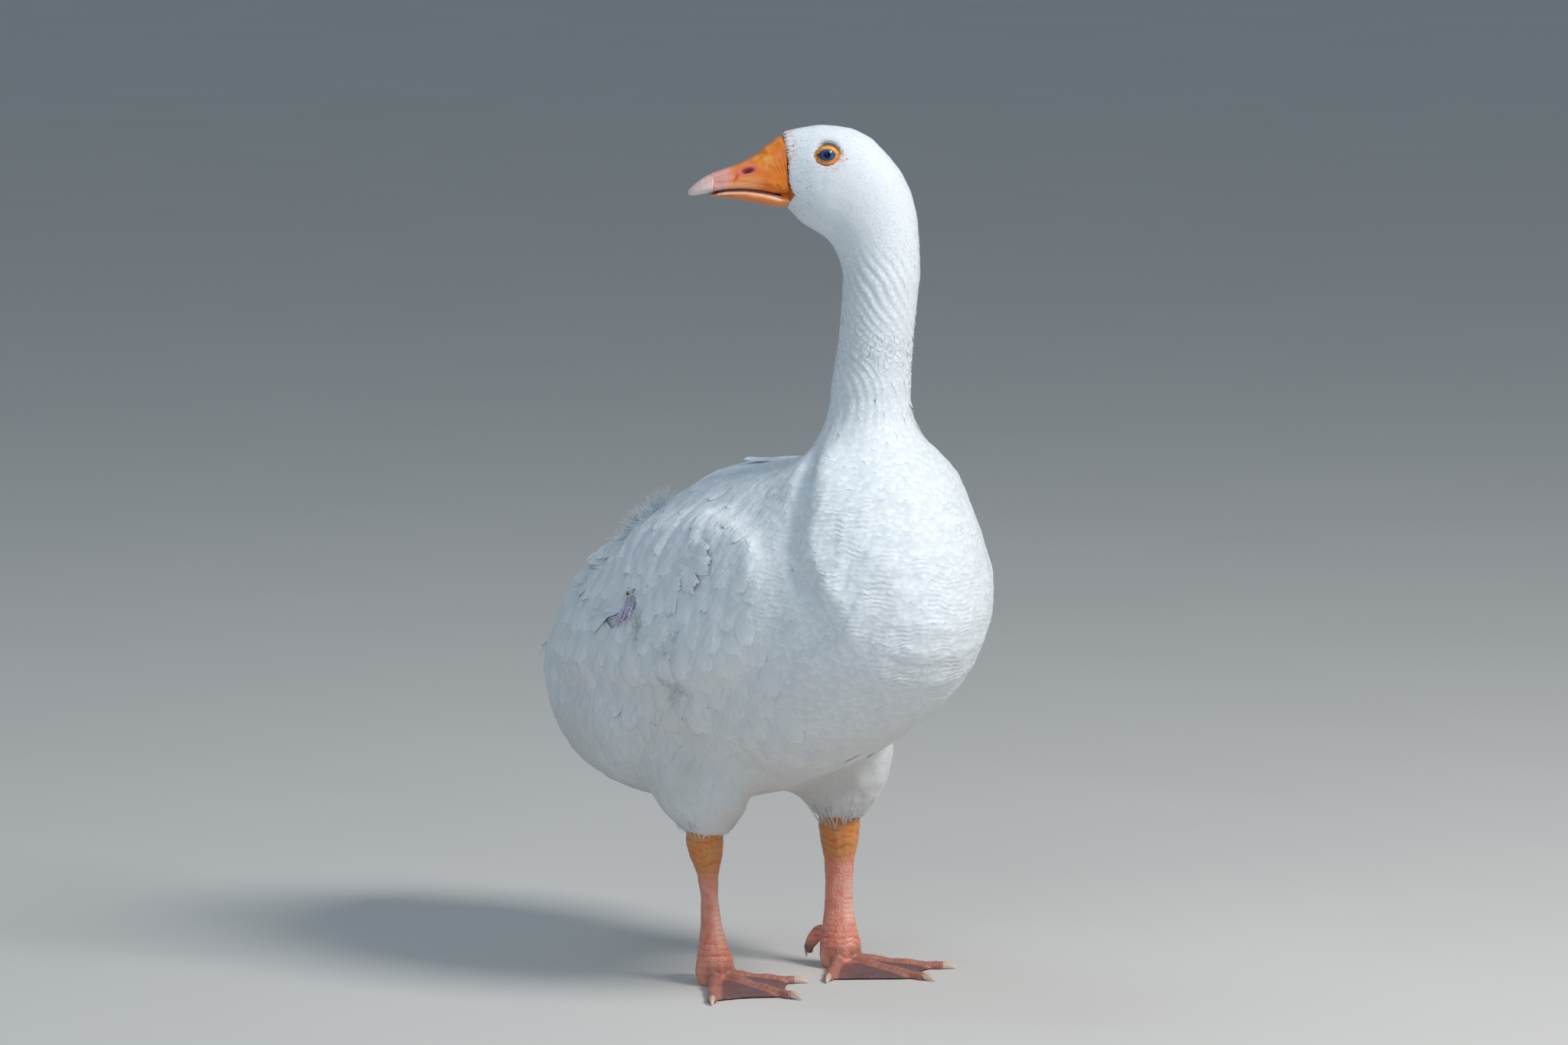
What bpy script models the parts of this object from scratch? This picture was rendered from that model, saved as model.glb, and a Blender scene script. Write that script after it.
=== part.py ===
"""A white domestic goose standing still, life size, its head turned back over its right side.

Run it with: blender --background --python part.py
Metres, +Z up. The breast faces -Y and the bird's left side is at +X. Each named object is one
piece of the bird, out to the tips of its feathers, and neighbours keep a gap of about 0.3 mm.
"""

import math
from collections import namedtuple

import bmesh
import bpy
import numpy as np
from mathutils import Matrix, Vector

# ---------------------------------------------------------------- driving dimensions
GAP = 0.0003  # clearance between neighbouring pieces
OVERCUT = 0.05  # how far a cutter runs past what it cuts

LEG_X = 0.0645  # from the middle between the legs to each leg's own line
LEG_Y = 0.009
STANCE = (0.0073, 0.010, 0.0)  # how far both legs stand to the bird's left and back
HOCK_Z = 0.128  # feathered thigh above, bare shank below
ANKLE_Z = 0.020  # shank above, foot below
TURN_OUT = {"left": 13.0, "right": -8.0}  # degrees that each foot turns outwards
SHANK_TURN = {"left": 30.0, "right": 20.0}  # and its shank, which is deeper than it is wide

NECK_TOP = Vector((0.001, -0.1395, 0.5935))  # where the neck enters the head
NECK_R = 0.0311
HEAD_TURN = 123.0  # degrees from the way the breast faces, towards the bird's right
HEAD_TILT = 1.5  # degrees that the bill is lifted
EYE_ABOVE_NECK = 0.1027
EYE_BEFORE_NECK = 0.0433
EYE_R = 0.0094
EYE_X = 0.0172  # from the head's middle plane to the eye's centre
EYE_FORWARD = 0.0043

TOE_LENGTH = {"inner": 0.066, "middle": 0.092, "outer": 0.086}
TOE_SPREAD = {  # degrees outwards of the foot's line
    "left": {"inner": -58.0, "middle": 0.0, "outer": 34.0},
    "right": {"inner": -47.0, "middle": 0.0, "outer": 45.0},
}
TOE_R = 0.0052
CLAW_LENGTH = 0.011
WEB_REACH = 0.93  # share of a toe's length that the web reaches

AROUND_BODY, AROUND_HEAD, AROUND_LIMB, AROUND_TOE = 24, 22, 14, 8

SIDES = {"left": 1.0, "right": -1.0}
PLUMAGE = (0.86, 0.87, 0.86, 0.85, 0.0)  # red, green, blue, roughness, metallic
BILL = (0.85, 0.30, 0.06, 0.42, 0.0)
SKIN = (0.78, 0.27, 0.13, 0.55, 0.0)
HORN = (0.80, 0.66, 0.58, 0.40, 0.0)
IRIS = (0.03, 0.12, 0.34, 0.08, 0.0)

# A loft's cross-section: its outline runs from top to bottom and out by side to each hand.
# belt is how far from bottom to top it is widest, and power is 2 for an ellipse, more for a box.
Section = namedtuple("Section", "top bottom side power belt")


def body_section(top, bottom, half_width, power=2.0, belt=0.5):
    """A section across the body: top and bottom are (y, z) on the middle plane."""
    return Section((0, *top), (0, *bottom), (half_width, 0, 0), power, belt)


# From under the head, down the neck, round the breast and back to the rump.
BODY = [
    body_section((-0.1085, 0.5920), (-0.1695, 0.5920), 0.0308),
    body_section((-0.1050, 0.5560), (-0.1645, 0.5560), 0.0300),
    body_section((-0.0975, 0.5220), (-0.1590, 0.5200), 0.0310),
    body_section((-0.0900, 0.4920), (-0.1605, 0.4890), 0.0356),
    body_section((-0.0845, 0.4680), (-0.1715, 0.4600), 0.0465),
    body_section((-0.0780, 0.4530), (-0.1930, 0.4320), 0.0620),
    body_section((-0.0660, 0.4440), (-0.2140, 0.3980), 0.0740),
    body_section((-0.0490, 0.4400), (-0.2280, 0.3580), 0.0840),
    body_section((-0.0280, 0.4370), (-0.2330, 0.3180), 0.0950, 2.0, 0.53),
    body_section((-0.0020, 0.4340), (-0.2180, 0.2790), 0.1050, 2.0, 0.56),
    body_section((0.0280, 0.4290), (-0.1800, 0.2440), 0.1150, 2.05, 0.57),
    body_section((0.0620, 0.4180), (-0.1280, 0.2130), 0.1220, 2.1, 0.55),
    body_section((0.0980, 0.4000), (-0.0680, 0.1850), 0.1250, 2.15, 0.52),
    body_section((0.1340, 0.3770), (-0.0060, 0.1610), 0.1260, 2.2, 0.47),
    body_section((0.1680, 0.3520), (0.0540, 0.1450), 0.1240, 2.35, 0.42),
    body_section((0.1990, 0.3260), (0.1100, 0.1405), 0.1160, 2.4, 0.42),
    body_section((0.2270, 0.3020), (0.1600, 0.1540), 0.1000, 2.35, 0.44),
    body_section((0.2510, 0.2800), (0.2000, 0.1780), 0.0790, 2.2, 0.46),
    body_section((0.2680, 0.2630), (0.2330, 0.2070), 0.0520, 2.0, 0.50),
    body_section((0.2750, 0.2530), (0.2570, 0.2330), 0.0240, 2.0, 0.50),
]
# Where the loft is parted, counted in sections.
NECK_LOWER_FROM, TRUNK_FROM, BODY_TO = 2.0, 4.6, 19.0
PART_STEP = 0.035  # share of a section that a parting gap takes


def head_section(top, bottom, half_width, power=2.0, belt=0.5):
    """A section of the head, from the bridge between the eyes: (forward, up) in millimetres."""
    return Section(
        (0, top[0] / 1000, top[1] / 1000),
        (0, bottom[0] / 1000, bottom[1] / 1000),
        (half_width / 1000, 0, 0),
        power,
        belt,
    )


# From the foot of the bill, over the crown and down the nape.
HEAD = [
    head_section((37.5, 16.6), (32.0, -47.6), 15.5, 2.2, 0.40),
    head_section((26.0, 20.2), (25.0, -55.6), 20.0, 2.2, 0.42),
    head_section((12.0, 22.6), (17.0, -60.8), 24.0, 2.1, 0.44),
    head_section((-3.0, 22.4), (10.0, -64.6), 26.6, 2.1, 0.46),
    head_section((-17.5, 20.0), (4.0, -68.2), 28.0, 2.0, 0.48),
    head_section((-31.5, 13.2), (0.0, -71.9), 28.8, 2.0, 0.50),
    head_section((-45.0, 0.0), (-3.5, -76.7), 29.2, 2.0, 0.50),
    head_section((-56.5, -13.6), (-6.5, -82.0), 29.4, 2.0, 0.50),
    head_section((-65.0, -30.0), (-9.0, -88.0), 29.6, 2.0, 0.50),
    head_section((-70.0, -48.0), (-10.6, -93.5), 29.9, 2.0, 0.50),
    head_section((-72.4, -68.0), (-11.6, -97.6), 30.3, 2.0, 0.50),
    head_section((-73.4, -86.0), (-12.0, -100.4), 30.6, 2.0, 0.50),
    head_section((-73.8, -102.7), (-12.2, -102.7), 30.8, 2.0, 0.50),
]
# The upper bill, from its feathered foot to the tip.
UPPER_BILL = [
    head_section((37.9, 16.2), (33.5, -34.6), 15.2, 2.3, 0.22),
    head_section((47.6, 10.0), (42.5, -34.6), 14.9, 2.1, 0.20),
    head_section((60.5, -1.8), (56.0, -31.8), 13.9, 2.1, 0.22),
    head_section((75.0, -10.2), (71.0, -30.6), 12.9, 2.1, 0.24),
    head_section((88.0, -15.4), (86.0, -31.6), 12.0, 2.1, 0.26),
    head_section((99.5, -20.2), (98.5, -34.4), 10.6, 2.1, 0.30),
    head_section((107.5, -25.4), (107.0, -36.4), 8.0, 2.0, 0.36),
    head_section((112.5, -30.2), (112.3, -36.9), 4.8, 2.0, 0.42),
    head_section((115.0, -33.4), (114.9, -36.3), 1.6, 2.0, 0.50),
]
NAIL_FROM, UPPER_BILL_TO = 4.62, 8.0
LOWER_BILL = [
    head_section((33.5, -35.2), (32.6, -45.8), 13.6, 2.4, 0.60),
    head_section((44.0, -35.2), (44.0, -44.6), 13.2, 2.4, 0.62),
    head_section((56.0, -32.7), (56.5, -42.6), 12.4, 2.4, 0.64),
    head_section((71.0, -31.5), (71.5, -39.8), 11.4, 2.4, 0.64),
    head_section((86.0, -32.5), (86.5, -38.0), 10.0, 2.4, 0.60),
    head_section((97.5, -35.2), (98.0, -37.4), 6.5, 2.2, 0.55),
]

# The left wing, folded on the trunk's side: (x, y, z) of its upper and lower edge.
WING = [
    Section((0.093, -0.127, 0.368), (0.098, -0.131, 0.328), (0.0065, -0.0030, 0), 2.2, 0.5),
    Section((0.097, -0.103, 0.388), (0.101, -0.113, 0.298), (0.0150, -0.0040, 0), 2.2, 0.5),
    Section((0.089, -0.066, 0.402), (0.107, -0.082, 0.275), (0.0250, -0.0030, 0), 2.3, 0.5),
    Section((0.086, -0.026, 0.404), (0.115, -0.048, 0.263), (0.0290, -0.0010, 0), 2.3, 0.5),
    Section((0.085, 0.022, 0.398), (0.119, 0.000, 0.257), (0.0300, 0.0010, 0), 2.3, 0.5),
    Section((0.080, 0.070, 0.384), (0.122, 0.046, 0.253), (0.0295, 0.0030, 0), 2.3, 0.5),
    Section((0.078, 0.114, 0.361), (0.121, 0.090, 0.252), (0.0270, 0.0050, 0), 2.3, 0.5),
    Section((0.072, 0.152, 0.335), (0.118, 0.134, 0.254), (0.0220, 0.0060, 0), 2.2, 0.5),
    Section((0.071, 0.182, 0.311), (0.105, 0.172, 0.264), (0.0110, 0.0050, 0), 2.0, 0.5),
]
# The tail, from inside the rump to the tips of its feathers.
TAIL = [
    body_section((0.200, 0.318), (0.192, 0.290), 0.040, 2.6),
    body_section((0.232, 0.297), (0.225, 0.273), 0.045, 2.8),
    body_section((0.260, 0.276), (0.255, 0.259), 0.046, 3.0),
    body_section((0.284, 0.255), (0.280, 0.245), 0.040, 3.0),
    body_section((0.300, 0.240), (0.298, 0.235), 0.027, 2.6),
]


def limb_section(x, y, z, half_width, half_depth, power=2.0, lean=0.0):
    """A level section of the left leg, about (x, y) from the leg's own line."""
    centre = Vector((LEG_X + x, LEG_Y + y, z))
    depth = Vector((0, half_depth, half_depth * lean))
    return Section(tuple(centre + depth), tuple(centre - depth), (half_width, 0, 0), power, 0.5)


# The left leg from the thigh inside the belly down to the ankle.
THIGH = [
    limb_section(-0.008, 0.016, 0.236, 0.036, 0.058, 2.0, 0.16),
    limb_section(0.000, 0.012, 0.212, 0.045, 0.068, 2.0, 0.14),
    limb_section(0.005, 0.010, 0.187, 0.043, 0.062, 2.0, 0.10),
    limb_section(0.0055, 0.008, 0.162, 0.036, 0.055, 2.0, 0.05),
    limb_section(0.005, 0.004, 0.143, 0.029, 0.040, 2.0, 0.0),
    limb_section(0.0045, 0.001, HOCK_Z, 0.0190, 0.0225, 2.0, 0.0),
]
SHANK = [
    limb_section(0.0045, 0.001, HOCK_Z - GAP, 0.0150, 0.0168),
    limb_section(0.0045, 0.001, 0.118, 0.0154, 0.0178),
    limb_section(0.004, 0.000, 0.106, 0.0132, 0.0168),
    limb_section(0.003, -0.001, 0.091, 0.0084, 0.0134),
    limb_section(0.002, -0.002, 0.071, 0.0068, 0.0122),
    limb_section(0.001, -0.003, 0.051, 0.0082, 0.0128),
    limb_section(0.0005, -0.005, 0.034, 0.0116, 0.0148),
    limb_section(0.000, -0.007, ANKLE_Z + GAP, 0.0152, 0.0176),
]
ANKLE = Vector((0.0, -0.007, 0.0))  # the foot's centre, from the leg's own line
# The small raised toe behind the left shank: (x, y, z) from the leg's own line.
HIND_TOE = [
    Section((-0.0050, 0.0090, 0.0345), (-0.0045, 0.0085, 0.0255), (0.0028, 0.0009, 0), 2.0, 0.5),
    Section((-0.0085, 0.0170, 0.0320), (-0.0070, 0.0110, 0.0215), (0.0042, 0.0012, 0), 2.0, 0.5),
    Section((-0.0115, 0.0230, 0.0240), (-0.0100, 0.0150, 0.0150), (0.0046, 0.0012, 0), 2.0, 0.5),
    Section((-0.0130, 0.0240, 0.0160), (-0.0120, 0.0185, 0.0115), (0.0032, 0.0009, 0), 2.0, 0.5),
]


# ---------------------------------------------------------------- tools
def clear_scene():
    for obj in list(bpy.data.objects):
        bpy.data.objects.remove(obj)


def new_collection(name, hidden=False):
    collection = bpy.data.collections.new(name)
    bpy.context.scene.collection.children.link(collection)
    collection.hide_render = hidden
    return collection


def new_material(name, finish):
    red, green, blue, roughness, metallic = finish
    material = bpy.data.materials.new(name)
    material.use_nodes = True
    material.diffuse_color = (red, green, blue, 1)
    shader = material.node_tree.nodes["Principled BSDF"]
    shader.inputs["Base Color"].default_value = (red, green, blue, 1)
    shader.inputs["Roughness"].default_value = roughness
    shader.inputs["Metallic"].default_value = metallic
    return material


def new_object(name, mesh, collection, material=None):
    obj = bpy.data.objects.new(name, mesh)
    collection.objects.link(obj)
    if material:
        mesh.materials.clear()
        mesh.materials.append(material)
    mesh.shade_smooth()
    return obj


def between(stations, at):
    """The section at a fractional place along a list of them, on a smooth curve through all."""
    rows = np.array([[*s.top, *s.bottom, *s.side, s.power, s.belt] for s in stations])
    first = min(int(at), len(rows) - 2)
    t = at - first
    before = rows[first - 1] if first else 2 * rows[0] - rows[1]
    after = rows[first + 2] if first + 2 < len(rows) else 2 * rows[-1] - rows[-2]
    slope_a, slope_b = (rows[first + 1] - before) / 2, (after - rows[first]) / 2
    row = (
        (2 * t**3 - 3 * t**2 + 1) * rows[first]
        + (t**3 - 2 * t**2 + t) * slope_a
        + (3 * t**2 - 2 * t**3) * rows[first + 1]
        + (t**3 - t**2) * slope_b
    )
    return Section(Vector(row[0:3]), Vector(row[3:6]), Vector(row[6:9]), row[9], row[10])


def ring(section, around, grow):
    """The points of one section's outline, moved outwards by grow."""
    height = section.top - section.bottom
    top = section.top + height.normalized() * grow
    bottom = section.bottom - height.normalized() * grow
    side = section.side * (1 + grow / section.side.length)
    waist = bottom + (top - bottom) * section.belt
    points = []
    for k in range(around):
        angle = 2 * math.pi * k / around
        up, out = (
            math.copysign(abs(v) ** (2 / section.power), v)
            for v in (math.cos(angle), math.sin(angle))
        )
        points.append(waist + ((top if up > 0 else bottom) - waist) * abs(up) + side * out)
    return points


def loft_mesh(name, stations, around, per_span=2, start=0.0, stop=None, grow=0.0):
    """A closed mesh through the sections from start to stop, with flat ends."""
    stop = len(stations) - 1 if stop is None else stop
    steps = max(2, round((stop - start) * per_span))
    places = [start + (stop - start) * k / steps for k in range(steps + 1)]
    rings = [ring(between(stations, at), around, grow) for at in places]
    if grow:  # a cutter also reaches past the ends of the piece it makes room for
        for end, neighbour in ((0, 1), (-1, -2)):
            push = sum(rings[end], Vector()) - sum(rings[neighbour], Vector())
            rings[end] = [p + push.normalized() * grow for p in rings[end]]
    bm = bmesh.new()
    loops = [[bm.verts.new(p) for p in points] for points in rings]
    for lower, upper in zip(loops, loops[1:]):
        for k in range(around):
            bm.faces.new((lower[k - 1], lower[k], upper[k]))
            bm.faces.new((lower[k - 1], upper[k], upper[k - 1]))
    bm.faces.new(loops[0])
    bm.faces.new(list(reversed(loops[-1])))
    bmesh.ops.recalc_face_normals(bm, faces=bm.faces)
    mesh = bpy.data.meshes.new(name)
    bm.to_mesh(mesh)
    bm.free()
    return mesh


def primitive_mesh(name, make, matrix=None, **settings):
    """A mesh from one of bmesh's primitives, such as bmesh.ops.create_cube."""
    bm = bmesh.new()
    made = make(bm, **settings)
    if matrix:
        bmesh.ops.transform(bm, matrix=matrix, verts=made["verts"])
    mesh = bpy.data.meshes.new(name)
    bm.to_mesh(mesh)
    bm.free()
    return mesh


def turned_over(mesh, matrix):
    """The mesh moved by a matrix, its faces still pointing out if the matrix mirrors."""
    mesh.transform(matrix)
    if matrix.determinant() < 0:
        mesh.flip_normals()
    return mesh


class Bird:
    """The goose's pieces, and the cutters that part them."""

    def __init__(self):
        self.pieces = new_collection("domestic_goose")
        self.cutters = new_collection("cutters", hidden=True)
        self.materials = {
            "plumage": new_material("plumage", PLUMAGE),
            "bill": new_material("bill", BILL),
            "leg_skin": new_material("leg_skin", SKIN),
            "horn": new_material("horn", HORN),
            "eye": new_material("eye", IRIS),
        }

    def piece(self, name, mesh, slot):
        return new_object(name, mesh, self.pieces, self.materials[slot])

    def cutter(self, name, mesh):
        obj = new_object(name, mesh, self.cutters)
        obj.hide_render = True
        obj.display_type = "WIRE"
        return obj

    def boolean(self, obj, other, operation="DIFFERENCE"):
        modifier = obj.modifiers.new(other.name, "BOOLEAN")
        modifier.operation = operation
        modifier.solver = "EXACT"
        modifier.object = other


# ---------------------------------------------------------------- the bird
def head_frame():
    """The matrix from the head's own axes (right, forward, up) to the bird's."""
    turn = Matrix.Rotation(math.radians(180 - HEAD_TURN), 4, "Z")
    tilt = Matrix.Rotation(math.radians(HEAD_TILT), 4, "X")
    lift = Matrix.Translation(Vector((0, EYE_BEFORE_NECK, EYE_ABOVE_NECK)))
    return Matrix.Translation(NECK_TOP) @ turn @ tilt @ lift


def make_head(bird):
    frame = head_frame()
    head = bird.piece(
        "head", turned_over(loft_mesh("head", HEAD, AROUND_HEAD, 1), frame), "plumage"
    )
    parts = {
        "upper_bill": ((UPPER_BILL, 16, 1.5, 0.0, NAIL_FROM), "bill"),
        "bill_nail": ((UPPER_BILL, 16, 2, NAIL_FROM + PART_STEP, UPPER_BILL_TO), "horn"),
        "lower_bill": ((LOWER_BILL, 12, 1), "bill"),
    }
    for name, (shape, slot) in parts.items():
        bird.piece(name, turned_over(loft_mesh(name, *shape), frame), slot)
    for side, sign in SIDES.items():
        place = frame @ Matrix.Translation((-sign * EYE_X, EYE_FORWARD, 0))
        for extra, make in ((0.0, None), (GAP, bird.cutter)):
            mesh = primitive_mesh(
                f"eye_{side}", bmesh.ops.create_uvsphere, place,
                u_segments=14, v_segments=8, radius=EYE_R + extra,
            )
            if make:
                bird.boolean(head, make(f"socket_{side}", mesh))
            else:
                bird.piece(f"eye_{side}", mesh, "eye")


def make_body(bird):
    """The neck in two lengths and the trunk. It returns the trunk."""
    lengths = {
        "neck_upper": (0.0, NECK_LOWER_FROM),
        "neck_lower": (NECK_LOWER_FROM + PART_STEP, TRUNK_FROM),
        "trunk": (TRUNK_FROM + PART_STEP, BODY_TO),
    }
    for name, (start, stop) in lengths.items():
        mesh = loft_mesh(name, BODY, AROUND_BODY, 1.5, start, stop)
        piece = bird.piece(name, mesh, "plumage")
    return piece


def make_pair(bird, name, stations, around, slot, room_in, shift=(0, 0, 0)):
    """A left piece and its mirror image, and the room that each takes out of its neighbours."""
    for side, sign in SIDES.items():
        flip = Matrix.Translation(shift) @ Matrix.Scale(sign, 4, (1, 0, 0))
        mesh = turned_over(loft_mesh(name, stations, around, 1), flip)
        bird.piece(f"{name}_{side}", mesh, slot)
        room = turned_over(loft_mesh(name, stations, around, 1, grow=GAP), flip)
        cutter = bird.cutter(f"room_{name}_{side}", room)
        for neighbour in room_in:
            bird.boolean(neighbour, cutter)


def toe_sections(length, radius):
    """A toe along +Y with a swelling at each of its joints, flat on the ground."""
    joints = 3
    sections = []
    for k in range(2 * joints + 1):
        share = k / (2 * joints)
        swell = 1.0 if k % 2 == 0 else 0.86
        r = radius * (1.25 - 0.40 * share) * swell
        y = length * share
        rise = ANKLE_Z * 0.3 * (1 - share) ** 2
        top, bottom = (0, y, 1.5 * r + rise), (0, y, -0.2 * r)
        sections.append(Section(top, bottom, (r, 0, 0), 2.0, 0.5))
    return sections


def web_sections(spread, reach):
    """The web's slices, fanned from the inner toe to the outer, its edge curving in between toes."""
    slices = []
    toes = list(spread)
    per_gap = 5
    for first, second in zip(toes, toes[1:]):
        for k in range(per_gap + (second == toes[-1])):
            share = k / per_gap
            angle = spread[first] + (spread[second] - spread[first]) * share
            length = TOE_LENGTH[first] + (TOE_LENGTH[second] - TOE_LENGTH[first]) * share
            sag = 1 - 0.14 * math.sin(math.pi * share)
            out = Vector((math.sin(math.radians(angle)), math.cos(math.radians(angle)), 0))
            edge = out * length * reach * sag + Vector((0, 0, 0.0012))
            root = out * 0.002 + Vector((0, 0, 0.0075))
            slices.append(Section(tuple(edge), tuple(root), (0, 0, 0.0024), 3.0, 0.5))
    return slices


def claw_mesh(name, length, radius, matrix):
    """A claw: a cone that curves down to a blunt tip, its own axis along +Y."""
    steps = 4
    sections = []
    for k in range(steps + 1):
        share = k / steps
        r = radius * (1 - 0.78 * share**1.4)
        centre = Vector((0, length * share, radius * 0.75 * (1 - share**2) + 0.0012))
        up = Vector((0, 0.35 * r * share, r))
        sections.append(Section(tuple(centre + up), tuple(centre - up), (0.8 * r, 0, 0), 2.0, 0.5))
    return turned_over(loft_mesh(name, sections, 8, 1), matrix)


def twisted(sections, side):
    """The left leg's sections, each turned about its own middle by the side's own amount."""
    turned = []
    for section in sections:
        top, bottom = Vector(section.top), Vector(section.bottom)
        middle = (top + bottom) / 2
        turn = Matrix.Rotation(math.radians(SHANK_TURN[side]), 3, "Z")
        turned.append(
            Section(
                tuple(middle + turn @ (top - middle)),
                tuple(middle + turn @ (bottom - middle)),
                tuple(turn @ Vector(section.side)),
                section.power,
                section.belt,
            )
        )
    return turned


def make_leg(bird, side):
    """The bare leg below the thigh: shank, foot, hind toe and claws."""
    flip = Matrix.Translation(STANCE) @ Matrix.Scale(SIDES[side], 4, (1, 0, 0))
    leg = flip @ Matrix.Translation(Vector((LEG_X, LEG_Y, 0)))
    # The foot is drawn pointing along +Y with its outer toe at +X, then turned to face the front.
    facing = Matrix.Rotation(math.radians(180 + TURN_OUT[side]), 4, "Z")
    frame = leg @ Matrix.Translation(ANKLE) @ facing @ Matrix.Scale(-1, 4, (1, 0, 0))

    shank = loft_mesh("shank", twisted(SHANK, side), AROUND_LIMB, 1)
    shank = bird.piece(f"shank_{side}", turned_over(shank, flip), "leg_skin")

    last = SHANK[-1]
    pad = [
        limb_section(0, ANKLE.y, ANKLE_Z, last.side[0], 0.0176),
        limb_section(0, ANKLE.y, 0.010, 0.0165, 0.0180),
        limb_section(0, ANKLE.y, 0.000, 0.0140, 0.0150),
    ]
    pad = turned_over(loft_mesh("pad", twisted(pad, side), AROUND_LIMB, 1), flip)
    foot = bird.piece(f"foot_{side}", pad, "leg_skin")
    web = web_sections(TOE_SPREAD[side], WEB_REACH)
    web = turned_over(loft_mesh("web", web, 8, 1), frame)
    bird.boolean(foot, bird.cutter(f"web_{side}", web), "UNION")
    for toe, length in TOE_LENGTH.items():
        turn = frame @ Matrix.Rotation(math.radians(-TOE_SPREAD[side][toe]), 4, "Z")
        mesh = turned_over(loft_mesh(toe, toe_sections(length, TOE_R), AROUND_TOE, 1), turn)
        bird.boolean(foot, bird.cutter(f"toe_{toe}_{side}", mesh), "UNION")
        claw_place = turn @ Matrix.Translation((0, length + GAP, 0))
        claw = claw_mesh(f"claw_{toe}", CLAW_LENGTH, TOE_R * 0.66, claw_place)
        bird.piece(f"claw_{toe}_{side}", claw, "horn")
    floor = Matrix.Translation((0, 0, -OVERCUT)) @ Matrix.Diagonal((1, 1, 2 * OVERCUT, 1))
    below = primitive_mesh("floor", bmesh.ops.create_cube, floor, size=1.0)
    bird.boolean(foot, bird.cutter(f"floor_{side}", below))

    hind_toe = turned_over(loft_mesh("hind_toe", HIND_TOE, AROUND_TOE), leg)
    bird.piece(f"hind_toe_{side}", hind_toe, "leg_skin")
    room = turned_over(loft_mesh("room", HIND_TOE, AROUND_TOE, grow=GAP), leg)
    room = bird.cutter(f"room_hind_toe_{side}", room)
    for neighbour in (shank, foot):
        bird.boolean(neighbour, room)
    tip = (Vector(HIND_TOE[-1].top) + Vector(HIND_TOE[-1].bottom)) / 2
    down = Matrix.Translation(tip + Vector((0, 0.0004, -0.0032)))
    down = leg @ down @ Matrix.Rotation(math.radians(-78), 4, "X")
    claw = claw_mesh("claw_hind", 0.0055, 0.0018, down)
    bird.piece(f"claw_hind_{side}", claw, "horn")


def centre_length(bird):
    """Moves the whole bird so that the origin lies on the floor under the middle of its length."""
    ys = [vertex.co.y for obj in bird.pieces.objects for vertex in obj.data.vertices]
    shift = Matrix.Translation((0, -(min(ys) + max(ys)) / 2, 0))
    for obj in [*bird.pieces.objects, *bird.cutters.objects]:
        obj.data.transform(shift)


def main():
    clear_scene()
    bird = Bird()
    make_head(bird)
    trunk = make_body(bird)
    make_pair(bird, "wing", WING, 18, "plumage", [trunk])
    make_pair(bird, "thigh", THIGH, 18, "plumage", [trunk], STANCE)
    bird.piece("tail", loft_mesh("tail", TAIL, 16, 1), "plumage")
    room = loft_mesh("room_tail", TAIL, 16, 1, grow=3 * GAP)
    bird.boolean(trunk, bird.cutter("room_tail", room))
    for side in SIDES:
        make_leg(bird, side)
    centre_length(bird)


main()
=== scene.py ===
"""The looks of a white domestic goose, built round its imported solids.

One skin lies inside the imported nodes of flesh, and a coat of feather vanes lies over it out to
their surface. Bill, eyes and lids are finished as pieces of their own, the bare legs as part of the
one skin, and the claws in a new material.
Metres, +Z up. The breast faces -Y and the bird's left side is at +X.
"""

import itertools
import math
from collections import namedtuple

import bmesh
import bpy
import numpy as np
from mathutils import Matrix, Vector
from mathutils.bvhtree import BVHTree


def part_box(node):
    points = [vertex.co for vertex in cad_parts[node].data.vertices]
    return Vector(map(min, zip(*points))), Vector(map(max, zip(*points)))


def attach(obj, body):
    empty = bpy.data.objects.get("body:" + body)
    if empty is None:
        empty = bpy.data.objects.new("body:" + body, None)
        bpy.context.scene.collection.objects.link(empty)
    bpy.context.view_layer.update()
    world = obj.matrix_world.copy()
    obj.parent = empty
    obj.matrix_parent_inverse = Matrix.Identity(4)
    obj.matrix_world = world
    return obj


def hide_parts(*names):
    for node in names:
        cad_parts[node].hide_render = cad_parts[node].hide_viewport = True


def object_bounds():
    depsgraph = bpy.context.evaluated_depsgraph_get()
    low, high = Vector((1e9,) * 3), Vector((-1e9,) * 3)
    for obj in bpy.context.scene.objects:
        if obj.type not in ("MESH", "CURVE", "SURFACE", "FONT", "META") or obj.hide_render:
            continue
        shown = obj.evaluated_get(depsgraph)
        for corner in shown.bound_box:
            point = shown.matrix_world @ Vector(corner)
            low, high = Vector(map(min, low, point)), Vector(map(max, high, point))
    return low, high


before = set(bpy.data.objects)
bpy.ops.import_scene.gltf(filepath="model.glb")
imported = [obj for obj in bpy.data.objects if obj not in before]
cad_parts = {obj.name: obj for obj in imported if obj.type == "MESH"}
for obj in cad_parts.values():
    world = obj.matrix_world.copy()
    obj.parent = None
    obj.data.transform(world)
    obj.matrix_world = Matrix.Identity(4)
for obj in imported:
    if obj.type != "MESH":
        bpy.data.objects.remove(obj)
cad_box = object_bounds()

MM = 0.001
RNG = np.random.default_rng(608)
SIDES = {"left": 1.0, "right": -1.0}

PLUMED = ["head", "neck_upper", "neck_lower", "trunk", "tail"]
PLUMED += [f"{part}_{side}" for part in ("wing", "thigh") for side in SIDES]
BARE = ("shank", "foot", "hind_toe")  # the nodes of one bare leg

# ---------------------------------------------------------------- driving dimensions
HEAD_TILT = 1.5  # degrees that the bill is lifted
EYE_FORWARD = 0.0043  # from the origin of the head's axes to the eyes
PLUME_VOXEL = 0.0028  # the grain of the surface that the plumage reaches
CREASE_FILL = 0.018  # how wide a crease between two solids the feathers bridge


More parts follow.
